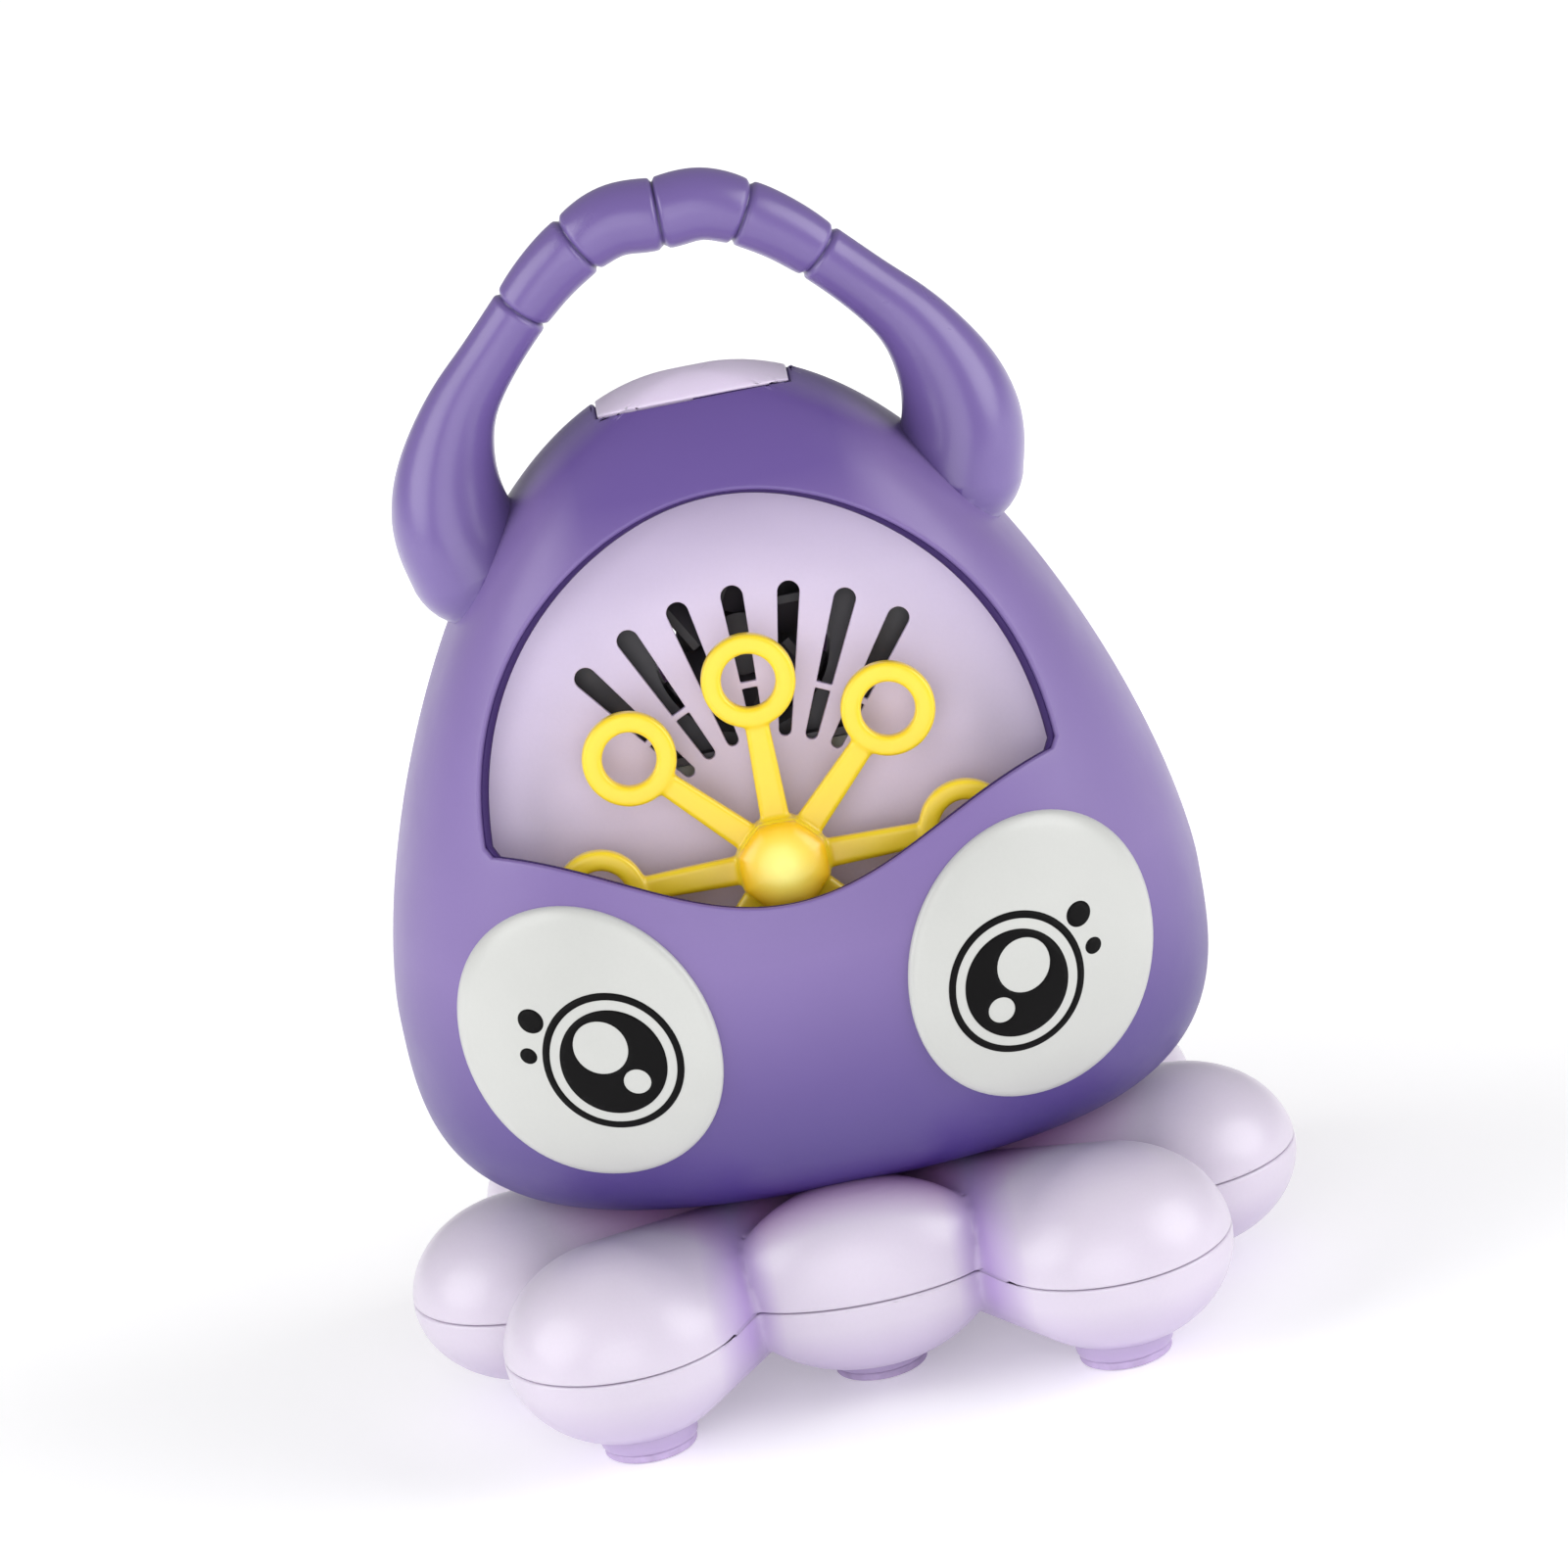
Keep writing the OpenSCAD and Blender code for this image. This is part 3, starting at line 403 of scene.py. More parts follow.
def hull(name, clouds):
    """The convex hull of several clouds of points."""
    bm = bmesh.new()
    for p in np.concatenate(clouds):
        bm.verts.new(tuple(p))
    made = bmesh.ops.convex_hull(bm, input=bm.verts)
    spare = {v for v in made["geom_interior"] + made["geom_unused"] if isinstance(v, bmesh.types.BMVert)}
    bmesh.ops.delete(bm, geom=list(spare), context="VERTS")
    return from_bmesh(name, bm)


def ball(x, y, z, a, b, c, n=40):
    """Points on an ellipsoid with half sizes a, b and c."""
    turns = np.linspace(0, 2 * math.pi, 2 * n, endpoint=False)
    t, p = np.meshgrid(turns, np.linspace(-math.pi / 2, math.pi / 2, n))
    points = [x + a * np.cos(p) * np.cos(t), y + b * np.cos(p) * np.sin(t), z + c * np.sin(p)]
    return np.stack(points, -1).reshape(-1, 3)


def join(name, objs):
    """One object with all the meshes; the separate ones go."""
    bm = bmesh.new()
    for o in objs:
        bm.from_mesh(o.data)
        bpy.data.objects.remove(o)
    return from_bmesh(name, bm)


def fuse(obj, voxel, rounds):
    """One skin round overlapping solids, with softened creases."""
    modify(obj, "REMESH", mode="VOXEL", voxel_size=voxel, adaptivity=0.0, use_smooth_shade=True)
    modify(obj, "SMOOTH", factor=0.5, iterations=rounds)
    return settle(obj)


# ---------------------------------------------------------------- materials
def nodes_of(name):
    """A new material with its tree, its shader and its object coordinates."""
    mat = bpy.data.materials.new(name)
    mat.use_nodes = True
    tree = mat.node_tree
    bsdf = next(n for n in tree.nodes if n.type == "BSDF_PRINCIPLED")
    coord = tree.nodes.new("ShaderNodeTexCoord")
    return mat, tree, bsdf, coord.outputs["Object"]


def srgb(*rgb):
    """A linear colour from sRGB values of 0 to 255."""
    parts = [c / 255 for c in rgb]
    return (*[c / 12.92 if c <= 0.04045 else ((c + 0.055) / 1.055) ** 2.4 for c in parts], 1.0)


def noise(tree, at, scale, detail=2.0, rough=0.5):
    """Fractal noise, mostly from 0.3 to 0.7."""
    n = tree.nodes.new("ShaderNodeTexNoise")
    n.inputs["Scale"].default_value = scale
    n.inputs["Detail"].default_value = detail
    n.inputs["Roughness"].default_value = rough
    tree.links.new(at, n.inputs["Vector"])
    return n.outputs["Fac"]


def spread(tree, value, a, b, lo=0.3, hi=0.7):
    """The value's range lo to hi, stretched to a to b and held there."""
    m = tree.nodes.new("ShaderNodeMapRange")
    for k, v in (("From Min", lo), ("From Max", hi), ("To Min", a), ("To Max", b)):
        m.inputs[k].default_value = v
    tree.links.new(value, m.inputs["Value"])
    return m.outputs["Result"]


def blend_colour(tree, fac, a, b):
    """From colour a to colour b; each is a constant or a socket."""
    m = tree.nodes.new("ShaderNodeMix")
    m.data_type = "RGBA"
    for socket, v in ((m.inputs["A"], a), (m.inputs["B"], b)):
        if isinstance(v, tuple):
            socket.default_value = v
        else:
            tree.links.new(v, socket)
    tree.links.new(fac, m.inputs["Factor"])
    return m.outputs["Result"]


def scaled(colour, k):
    """The colour, k times as bright."""
    return tuple(min(1.0, c * k) for c in colour[:3]) + (1.0,)


def bump(tree, bsdf, height, strength, distance):
    """Fine relief from a height socket."""
    b = tree.nodes.new("ShaderNodeBump")
    b.inputs["Strength"].default_value = strength
    b.inputs["Distance"].default_value = distance
    tree.links.new(height, b.inputs["Height"])
    tree.links.new(b.outputs["Normal"], bsdf.inputs["Normal"])


def band(tree, at, axis, start, full):
    """0 to 1 along one axis of the object, from `start` to `full`."""
    split = tree.nodes.new("ShaderNodeSeparateXYZ")
    tree.links.new(at, split.inputs[0])
    value = split.outputs[axis]
    if axis == "X":
        value = maths(tree, "ABSOLUTE", value)
    if start < full:
        return spread(tree, value, 0, 1, start, full)
    return spread(tree, value, 1, 0, full, start)


def maths(tree, kind, a, b=None):
    """One sum on one or two sockets."""
    m = tree.nodes.new("ShaderNodeMath")
    m.operation = kind
    tree.links.new(a, m.inputs[0])
    if b is not None:
        tree.links.new(b, m.inputs[1])
    return m.outputs[0]


def from_axis(tree, at, centre, axis, scale=(1, 1, 1)):
    """Distance from a line through `centre` along `axis`, after scaling."""
    move = tree.nodes.new("ShaderNodeMapping")
    move.inputs["Location"].default_value = [-c * k for c, k in zip(centre, scale)]
    move.inputs["Scale"].default_value = scale
    tree.links.new(at, move.inputs["Vector"])
    cross = tree.nodes.new("ShaderNodeVectorMath")
    cross.operation = "CROSS_PRODUCT"
    cross.inputs[1].default_value = axis
    tree.links.new(move.outputs["Vector"], cross.inputs[0])
    length = tree.nodes.new("ShaderNodeVectorMath")
    length.operation = "LENGTH"
    tree.links.new(cross.outputs["Vector"], length.inputs[0])
    return length.outputs["Value"]


def plastic(name, colour, rough=(0.30, 0.40), tints=(), coat=0.25, grain=0.06, subsurface=0.0,
            specular=0.5):
    """Moulded plastic: slow tone drift, a fine satin grain, and duller and shinier patches.
    Each tint is (mask, colour), where mask(tree, at) gives the tint's share."""
    mat, tree, bsdf, at = nodes_of(name)
    drift = spread(tree, noise(tree, at, 22, 3), 0, 1)
    base = blend_colour(tree, drift, scaled(colour, 0.95), scaled(colour, 1.05))
    for mask, tint in tints:
        base = blend_colour(tree, mask(tree, at), base, tint)
    fine = noise(tree, at, 1500, 3, 0.6)
    base = blend_colour(tree, spread(tree, fine, 0.0, 0.06), base, scaled(colour, 0.7))
    tree.links.new(base, bsdf.inputs["Base Color"])
    tree.links.new(spread(tree, noise(tree, at, 70, 4, 0.6), *rough), bsdf.inputs["Roughness"])
    bsdf.inputs["Coat Weight"].default_value = coat
    bsdf.inputs["Coat Roughness"].default_value = 0.3
    bsdf.inputs["Specular IOR Level"].default_value = specular
    if subsurface:
        bsdf.inputs["Subsurface Weight"].default_value = subsurface
        bsdf.inputs["Subsurface Radius"].default_value = (0.004, 0.003, 0.004)
        bsdf.inputs["Subsurface Scale"].default_value = 1.0
    bump(tree, bsdf, fine, grain, 0.0002)
    return mat


def metal(name, colour, rough=(0.22, 0.42), stretch=(60, 900, 60)):
    """Turned or rolled metal with fine lines along it."""
    mat, tree, bsdf, at = nodes_of(name)
    m = tree.nodes.new("ShaderNodeMapping")
    m.inputs["Scale"].default_value = stretch
    tree.links.new(at, m.inputs["Vector"])
    lines = noise(tree, m.outputs["Vector"], 1.0, 4, 0.6)
    base = blend_colour(tree, spread(tree, lines, 0, 1), scaled(colour, 0.8), scaled(colour, 1.08))
    tree.links.new(base, bsdf.inputs["Base Color"])
    bsdf.inputs["Metallic"].default_value = 1.0
    tree.links.new(spread(tree, noise(tree, at, 160, 4), *rough), bsdf.inputs["Roughness"])
    bump(tree, bsdf, lines, 0.08, 0.0001)
    return mat


def rubber(name, colour):
    """Matt rubber or cable insulation with a fine grain."""
    mat, tree, bsdf, at = nodes_of(name)
    patches = spread(tree, noise(tree, at, 300, 4), 0, 1)
    base = blend_colour(tree, patches, scaled(colour, 0.85), scaled(colour, 1.1))
    tree.links.new(base, bsdf.inputs["Base Color"])
    tree.links.new(spread(tree, noise(tree, at, 90, 3), 0.55, 0.75), bsdf.inputs["Roughness"])
    bump(tree, bsdf, noise(tree, at, 2200, 2), 0.2, 0.0002)
    return mat


def underside(tree, at):
    """Painted shade: the body's lower part, darker towards the base."""
    return band(tree, at, "Z", 100 * MM, 44 * MM)


def forehead_shade(tree, at):
    """Painted shade on the flat between the crest and the window."""
    middle = band(tree, at, "X", 34 * MM, 25 * MM)
    return maths(tree, "MULTIPLY", middle, band(tree, at, "Z", 172 * MM, 186 * MM))


def deck_shade(tree, at):
    """Painted shade and a painted reflection of the body's purple, on the middle of the base under the
    body.
    """
    near = spread(tree, from_axis(tree, at, (0, 0, 0), (0, 0, 1), (1, 1.5, 1)), 1, 0, 40 * MM, 62 * MM)
    return maths(tree, "MULTIPLY", near, band(tree, at, "Z", 26 * MM, 38 * MM))


def groove_shade(tree, at):
    """Painted shade in the grooves, where the surface curves in."""
    shape = tree.nodes.new("ShaderNodeNewGeometry")
    return spread(tree, shape.outputs["Pointiness"], 1, 0, 0.44, 0.495)


def crease(tree, at):
    """Soft shade in the creases beside the front tentacle."""
    rise, fall = band(tree, at, "X", 17 * MM, 23.5 * MM), band(tree, at, "X", 31 * MM, 24 * MM)
    near = maths(tree, "MULTIPLY", rise, fall)
    return maths(tree, "MULTIPLY", near, band(tree, at, "Y", 60 * MM, 40 * MM))


def belly_shade(tree, at):
    """Painted shade on the tentacles' lower side."""
    return band(tree, at, "Z", 19 * MM, 3 * MM)


def panel_top(tree, at):
    """The panel's top, in the window's shade."""
    return band(tree, at, "Z", 160 * MM, 188 * MM)


def hub_edge_shade(tree, at):
    """Painted shade: the knob turns orange away from its middle."""
    radius = from_axis(tree, at, DRIVE.translation, DRIVE.to_3x3() @ Vector((0, 1, 0)))
    return spread(tree, radius, 0, 1, 1.5 * MM, 8.2 * MM)


# Painted shade on the body: darker towards its bottom, and on the forehead.
BODY_SHADE_TINTS = [(underside, srgb(42, 18, 112)), (forehead_shade, srgb(97, 76, 142))]
# Painted shade on the base: under the body, with the body's purple reflected there, in the creases, and
# on the tentacles' lower side.
BASE_SHADE_TINTS = [(deck_shade, srgb(184, 118, 196)), (crease, srgb(176, 152, 204)), (belly_shade, srgb(180, 162, 200))]
MAT = {
    "purple_shell": plastic("purple_plastic", srgb(119, 99, 156), rough=(0.36, 0.44), coat=0.15,
                            tints=BODY_SHADE_TINTS, specular=0.4),
    # The handle is darkened in its grooves as painted shade.
    "handle": plastic("handle_plastic", srgb(108, 89, 150), rough=(0.26, 0.34), coat=0.4, grain=0.08,
                      tints=[(groove_shade, srgb(52, 34, 96))], specular=0.4),
    # A dark purple that stands in for shadow, on the window's lip and the seam's tongue.
    "window_edge": plastic("window_shadow_plastic", srgb(52, 32, 88), rough=(0.5, 0.6), coat=0.0,
                           specular=0.2),
    "lilac_shell": plastic("lilac_plastic", srgb(226, 212, 235), rough=(0.28, 0.38), coat=0.3,
                           subsurface=0.15),
    "base": plastic("base_plastic", srgb(206, 197, 213), rough=(0.3, 0.4), coat=0.3, tints=BASE_SHADE_TINTS,
                    subsurface=0.15),
    "lilac_panel": plastic("lilac_panel_plastic", srgb(212, 199, 227), rough=(0.42, 0.52), coat=0.05,
                           grain=0.1, tints=[(panel_top, srgb(180, 163, 200))]),
    "yellow_wheel": plastic("yellow_plastic", srgb(240, 208, 34), rough=(0.28, 0.38), coat=0.3,
                            subsurface=0.2),
    # The knob's pale yellow is partly its own colour and partly a painted highlight; the orange away
    # from its middle is painted shade.
    "hub": plastic("hub_plastic", srgb(250, 238, 120), rough=(0.26, 0.34), coat=0.3, subsurface=0.2,
                   tints=[(hub_edge_shade, srgb(242, 190, 4))]),
    "eye_white": plastic("eye_plastic", srgb(190, 191, 188), rough=(0.3, 0.38), coat=0.1, grain=0.04),
    "black_print": plastic("printed_ink", srgb(9, 8, 9), rough=(0.5, 0.6), coat=0.0, grain=0.1,
                           specular=0.1),
    "gear_nylon": plastic("gear_nylon", srgb(232, 228, 214), rough=(0.4, 0.55), coat=0.0,
                          subsurface=0.1),
    "dark_plastic": plastic("dark_plastic", srgb(58, 55, 62), rough=(0.4, 0.55), coat=0.0, grain=0.15),
    "steel": metal("steel", srgb(200, 202, 206)),
    "motor_can": metal("motor_can", srgb(180, 182, 186), rough=(0.3, 0.5)),
    "cell_jacket": plastic("cell_jacket", srgb(38, 38, 44), rough=(0.2, 0.3), coat=0.5),
    "contact_metal": metal("contact_metal", srgb(212, 204, 180), rough=(0.18, 0.34)),
    "red_lead": rubber("red_insulation", srgb(190, 30, 28)),
    "black_lead": rubber("black_insulation", srgb(30, 30, 32)),
    # The pads are a darker copy of the base's lilac: painted shade under the tentacles.
    "foot_rubber": rubber("foot_rubber", srgb(186, 168, 204)),
    "seal_rubber": rubber("seal_rubber", srgb(42, 42, 46)),
}


def finish_piece(obj, mat, body="housing", replaced=()):
    """Gives a piece its material and its body, and hides the CAD nodes it stands for."""
    obj.data.materials.clear()
    obj.data.materials.append(MAT[mat])
    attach(obj, body)
    if replaced:
        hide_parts(*replaced)
    return obj


SLOT_OF = {row["node"]: row["material_slot"] for row in frame["record"]["subparts"]}
for node_name, node_obj in NODES.items():
    node_obj.data.materials.clear()
    node_obj.data.materials.append(MAT[SLOT_OF.get(node_name, "dark_plastic")])

# ---------------------------------------------------------------- shells
FRONT_MID, REAR_MID = -math.pi / 2, math.pi / 2
LIP_DROP = 1.6 * MM        # the lip's edge below the CAD's
CLOSING_STEP = 1.6 * MM    # between points where a shell's outline closes


def shell_edge(sign):
    """Right half of the edge between the shells, as (x, y, z) from the crest's middle to the underside.
    sign is -1 for the front shell's side of the gap and 1 for the rear shell's."""
    g = sign * SEAM_GAP
    half, crest = CREST_HALF - g, CREST_Z + g
    x = np.linspace(0, half, 18)
    f = solve(lambda t: outside_by(x, -t, crest + CREST_SLOPE * t), 0 * x, 0 * x + 17 * MM)
    f[-1] = solve(lambda t: outside_by(half, -t, crest + CREST_SLOPE * t), -4 * MM, 17 * MM)
    rows = [(xx, -ff, crest + CREST_SLOPE * ff) for xx, ff in zip(x, f)]
    y = np.linspace(-f[-1], float(seam_y(TOP)) + g, 14)[1:]
    z = solve(lambda t: outside_by(half, y, t), 0 * y + MID, 0 * y + TOP - 1e-6)
    rows += [(half, yy, zz) for yy, zz in zip(y, z)]
    v = np.arange(v_of(z[-1]) - 1.4 * MM, v_of(LOW + 1.1 * MM), -1.4 * MM)
    for zz in z_of(v):
        w, d = half_sizes(zz, 0.0, True)
        n = squareness(zz)
        split = float(seam_y(zz)) + g
        t = split / float(d)
        if t >= 1:
            rows.append((0.0, float(d), zz))
            break
        rows.append((float(w) * (1 - t**n) ** (1 / n), split, zz))
    return np.array(rows)


def edge_plan(sign, middle):
    """The edge between the shells in the flat plan."""
    e = shell_edge(sign)
    w, d = half_sizes(e[:, 2], 0.0, e[:, 1] > 0)
    n = squareness(e[:, 2])
    c = np.clip(np.abs(e[:, 0]) / w, 0, 1) ** (n / 2)
    s = np.sign(e[:, 1]) * np.clip(np.abs(e[:, 1]) / d, 0, 1) ** (n / 2)
    return plan(np.arctan2(s, c), e[:, 2], middle)


def on_body(outline, side, middle):
    """An outline in x and z, moved onto the body's front or rear and into the flat plan."""
    x, z = outline[:, 0], outline[:, 1]
    return plan(angle_at(x, z, side), z, middle)


half = edge_plan(-1, FRONT_MID)
bottom = v_of(LOW + 0.02 * MM)
back_u = ROUND_R * math.pi * 0.9999
right = np.concatenate([half[:-1], [[back_u, half[-1, 1]], [back_u, bottom]]])
left = right[::-1] * [-1, 1]
tail = len(half) - 1
closing = dense(np.concatenate([right[tail:], left[:-tail]]), CLOSING_STEP, closed=False)
front_loop = np.concatenate([half[:-1], closing, left[-tail:-1]])
window = on_body(dense(window_outline(0, LIP_DROP)), -1, FRONT_MID)
front = sheet("front_shell_skin", front_loop, [window], lift(FRONT_MID))
thicken(front, WALL, 0.6 * MM, 3)
finish_piece(front, "purple_shell", replaced=["front_shell"])

# A dark lip just inside the window's edge, painted shadow where the edge meets the panel, and a dark
# tongue behind the seam between the shells, painted shade in the seam's gap.
lip_outside = on_body(dense(window_outline(0.4 * MM, LIP_DROP + 0.4 * MM)), -1, FRONT_MID)
lip_inside = on_body(dense(window_outline(-0.7 * MM, LIP_DROP + 0.1 * MM)), -1, FRONT_MID)
lip = sheet("window_shadow_lip", lip_outside, [lip_inside], lift(FRONT_MID, 0.9 * MM), 1.2 * MM)
modify(lip, "SOLIDIFY", thickness=1.0 * MM, offset=-1.0, use_even_offset=False)
finish_piece(lip, "window_edge")
TONGUE = 2 * MM


def sunk(z):
    """Heights brought below the crown of the surface in the middle of the wall."""
    return z - np.clip((z - MID) / (TOP - MID), 0, 1) * WALL * 0.6


seam = edge_plan(0, FRONT_MID)
along_seam = np.gradient(seam, axis=0)
along_seam /= np.linalg.norm(along_seam, axis=1)[:, None]
across_seam = np.stack([along_seam[:, 1], -along_seam[:, 0]], 1)
for mirror, tag in ((1, "right"), (-1, "left")):
    lanes = [(seam + across_seam * k * TONGUE) * [mirror, 1] for k in (-1, 0, 1)]
    lanes = [lift(FRONT_MID, WALL / 2)(np.stack([p[:, 0], v_of(sunk(z_of(p[:, 1])))], 1)) for p in lanes]
    tongue = add(f"seam_shadow_tongue_{tag}", *strip(lanes, closed=False))
    modify(tongue, "SOLIDIFY", thickness=0.5 * MM, offset=-1.0)
    finish_piece(tongue, "window_edge")

half = edge_plan(1, REAR_MID)
half[0, 0] = -ROUND_R * math.pi
half[:, 0] = np.minimum(half[:, 0], 0)
top = v_of(TOP - 1e-9)
left = half[::-1] * [-1, 1]
corners = [left[-1], [ROUND_R * math.pi, top], [-ROUND_R * math.pi, top], half[0]]
crown = dense(np.array(corners), CLOSING_STEP, closed=False)
rear_loop = np.concatenate([half[:-1], [[0, half[-1, 1]]], left[1:-1], crown[:-1]])
FINE = 0.8 * MM            # between points round small holes
GRILLE_Z, GRILLE_STEP, GRILLE_HALF, GRILLE_TAPER, GRILLE_R = 132, 5.5, 17, 0.9, 1.3    # in mm
door_hole = round_rect(-DOOR_HALF, DOOR_HALF, *DOOR_Z, 2.5 * MM)
holes = [dense(door_hole)]
for i in range(6):
    w = (GRILLE_HALF - GRILLE_TAPER * i + GRILLE_R) * MM
    z = (GRILLE_Z + GRILLE_STEP * i) * MM
    bar = round_rect(-w, w, z - GRILLE_R * MM, z + GRILLE_R * MM, (GRILLE_R - 0.01) * MM)
    holes.append(dense(bar, FINE))
switch_hole = round_rect(-6.5 * MM, 6.5 * MM, SWITCH_Z - 2.3 * MM, SWITCH_Z + 2.3 * MM, 0.8 * MM)
holes.append(dense(switch_hole, FINE))
holes += [circle(s * x, z, WELL_IN, 32) for s in (-1, 1) for x, z in SCREWS]
rear = sheet("rear_shell_skin", rear_loop, [on_body(h, 1, REAR_MID) for h in holes], lift(REAR_MID))
thicken(rear, WALL)
finish_piece(rear, "lilac_shell", replaced=["rear_shell"])

door_outline = round_rect(-DOOR_HALF + DOOR_GAP, DOOR_HALF - DOOR_GAP, DOOR_Z[0] + DOOR_GAP,
                          DOOR_Z[1] - DOOR_GAP, 2.2 * MM)
screw_at = DOOR_Z[1] - 5 * MM
door = sheet("battery_door_skin", on_body(dense(door_outline), 1, REAR_MID),
             [on_body(circle(0, screw_at, 2.8 * MM, 32), 1, REAR_MID)], lift(REAR_MID))
thicken(door, WALL)
finish_piece(door, "lilac_shell", "door", replaced=["battery_door"])
ALONG_Y = Matrix.Rotation(-math.pi / 2, 4, "X")   # turns local Z towards +Y
# The door screw's cup, as (radius, y) in mm.
boss_profile = np.array([(1.5, 44), (2.8, 44), (2.8, 47.3), (4, 47), (4, 43), (1.5, 43), (1.5, 44)]) * MM
boss_profile = rounded([tuple(p) for p in boss_profile], 0.2 * MM)
boss = revolve("door_boss", boss_profile, Matrix.Translation((0, 0, screw_at)) @ ALONG_Y, 32)
finish_piece(boss, "lilac_shell", "door")
for side, tag in ((-1, "l"), (1, "r")):
    for k, (x, z) in enumerate(SCREWS):
        rim = circle(side * x, z, WELL_OUT, 24)
        deep = float(np.min(body_y(rim[:, 0], rim[:, 1], 0.0, 1))) - 0.9 * MM
        lo = SPLIT_Y + 6 * MM
        if deep < lo + 1 * MM:
            continue
        profile = [(SCREW_HOLE_R, lo), (WELL_IN, lo), (WELL_IN, deep), (WELL_OUT, deep),
                   (WELL_OUT, lo - WELL_END), (SCREW_HOLE_R, lo - WELL_END), (SCREW_HOLE_R, lo)]
        spot = Matrix.Translation((side * x, 0, z)) @ ALONG_Y
        well = revolve(f"screw_well_{tag}{k}", rounded(profile, 0.1 * MM, 2), spot, 28)
        finish_piece(well, "lilac_shell")

# ---------------------------------------------------------------- eyes
EYE_RIM = 2.6 * MM
EYE_CROWN = 0.35 * MM      # how far a plate's middle stands out past its rim


def eye_surface(xz, out):
    """Points at x and z on the body's front, `out` in front of it."""
    return np.stack([xz[:, 0], body_y(xz[:, 0], xz[:, 1], -out), xz[:, 1]], 1)


def eye_plate(side, name, node):
    """A domed plate on the body, with a soft rim."""
    edge = eye_outline(side)
    centre = np.array([side * EYE["x"], EYE["z"]])
    reach = np.linalg.norm(edge - centre, axis=1).mean()
    rings = [eye_surface(edge, -0.6 * MM)]
    for q in [0.0, 0.06, 0.14, 0.25, 0.38, 0.52, 0.68, 0.84, 1.0]:
        inner = centre + (edge - centre) * (1 - q * EYE_RIM / reach)
        rings.append(eye_surface(inner, EYE["proud"] * math.sqrt(1 - (1 - q) ** 2)))
    for s in np.linspace(1 - EYE_RIM / reach, 0.0, 26)[1:-1]:
        rings.append(eye_surface(centre + (edge - centre) * s, EYE["proud"] + EYE_CROWN * (1 - s * s)))
    verts, faces = strip(rings)
    n = len(edge)
    verts = np.concatenate([verts, eye_surface(centre[None], EYE["proud"] + EYE_CROWN)])
    last = (len(rings) - 1) * n
    faces += [(last + k, last + (k + 1) % n, len(verts) - 1) for k in range(n)]
    obj = add(name, verts, faces)
    face_out(obj, (0, 0, EYE["z"]))
    modify(obj, "SOLIDIFY", thickness=0.9 * MM, offset=-1.0)
    finish_piece(obj, "eye_white", replaced=[node])


def print_patch(name, outer, holes, side, node=None):
    """A thin black print that lies on an eye plate."""
    def up(uv):
        centre = np.array([side * EYE["x"], EYE["z"]])
        edge = np.stack([(uv[:, 0] - centre[0]) / EYE["w"], (uv[:, 1] - centre[1]) / EYE["h"]], 1)
        s2 = np.clip((edge**2).sum(1), 0, 1)
        y = body_y(uv[:, 0], uv[:, 1], -EYE["proud"])
        lift_by = EYE_CROWN * (1 - s2) + 0.09 * MM
        return np.stack([uv[:, 0], y - lift_by, uv[:, 1]], 1)
    obj = sheet(name, outer, holes, up, 0.9 * MM, (0, 0, EYE["z"]))
    modify(obj, "SOLIDIFY", thickness=0.12 * MM, offset=-1.0)
    finish_piece(obj, "black_print", replaced=[node] if node else ())


IRIS_X, IRIS_Z, IRIS_TALL = 39.2 * MM, 85.7 * MM, 1.06
for side, tag in ((-1, "left"), (1, "right")):
    eye_plate(side, f"eye_plate_{tag}", f"eye_{tag}")
    print_patch(f"iris_ring_{tag}", circle(side * IRIS_X, IRIS_Z, 13.3 * MM, 110, IRIS_TALL),
                [circle(side * IRIS_X, IRIS_Z, 11.95 * MM, 100, IRIS_TALL)], side, f"eye_print_{tag}")
    glints = [circle(side * (IRIS_X + 1.9 * MM), IRIS_Z + 3.3 * MM, 5.2 * MM, 44, 5.3 / 5.2),
              circle(side * (IRIS_X - 3.8 * MM), IRIS_Z - 4.1 * MM, 2.6 * MM, 30)]
    print_patch(f"pupil_{tag}", circle(side * IRIS_X, IRIS_Z, 10.1 * MM, 90, IRIS_TALL), glints, side)
    print_patch(f"dot_upper_{tag}", circle(side * 53.3 * MM, 94.6 * MM, 2.4 * MM, 30), [], side)
    print_patch(f"dot_lower_{tag}", circle(side * 55 * MM, 87.6 * MM, 1.6 * MM, 24), [], side)

# ---------------------------------------------------------------- handle
# One half of the handle's centre line, as (x, z, radius), from its top down to the shoulder.
HORN = np.array([[0, 232.5, 7], [8.5, 233, 6.8], [16.4, 229.4, 6.4], [23.2, 224.6, 6],
                 [29.2, 218.8, 5.7], [37, 210.4, 5.8], [43.4, 202.6, 6.8], [47.4, 194.6, 8.6],
                 [49.6, 186.6, 10.6], [49.8, 179, 12], [47.6, 171.6, 12.8]]) * MM
GROOVES = [-29 * MM, -16 * MM, 0, 16 * MM, 29 * MM]
GROOVE_DEEP, GROOVE_WIDE = 0.85 * MM, 0.55 * MM


def smooth_path(points, n):
    """A Catmull-Rom curve through the points, evenly spaced."""
    p = np.concatenate([[2 * points[0] - points[1]], points, [2 * points[-1] - points[-2]]])
    out = []
    for i in range(1, len(p) - 2):
        for t in np.linspace(0, 1, 40, endpoint=False):
            a, b, c, d = p[i - 1], p[i], p[i + 1], p[i + 2]
            square, cube = (2 * a - 5 * b + 4 * c - d) * t**2, (3 * b - a - 3 * c + d) * t**3
            out.append(0.5 * (2 * b + (c - a) * t + square + cube))
    out.append(p[-2])
    out = np.array(out)
    s = np.concatenate([[0], np.cumsum(np.linalg.norm(np.diff(out[:, :2], axis=0), axis=1))])
    at = np.linspace(0, s[-1], n)
    return np.stack([np.interp(at, s, out[:, k]) for k in range(out.shape[1])], 1), at


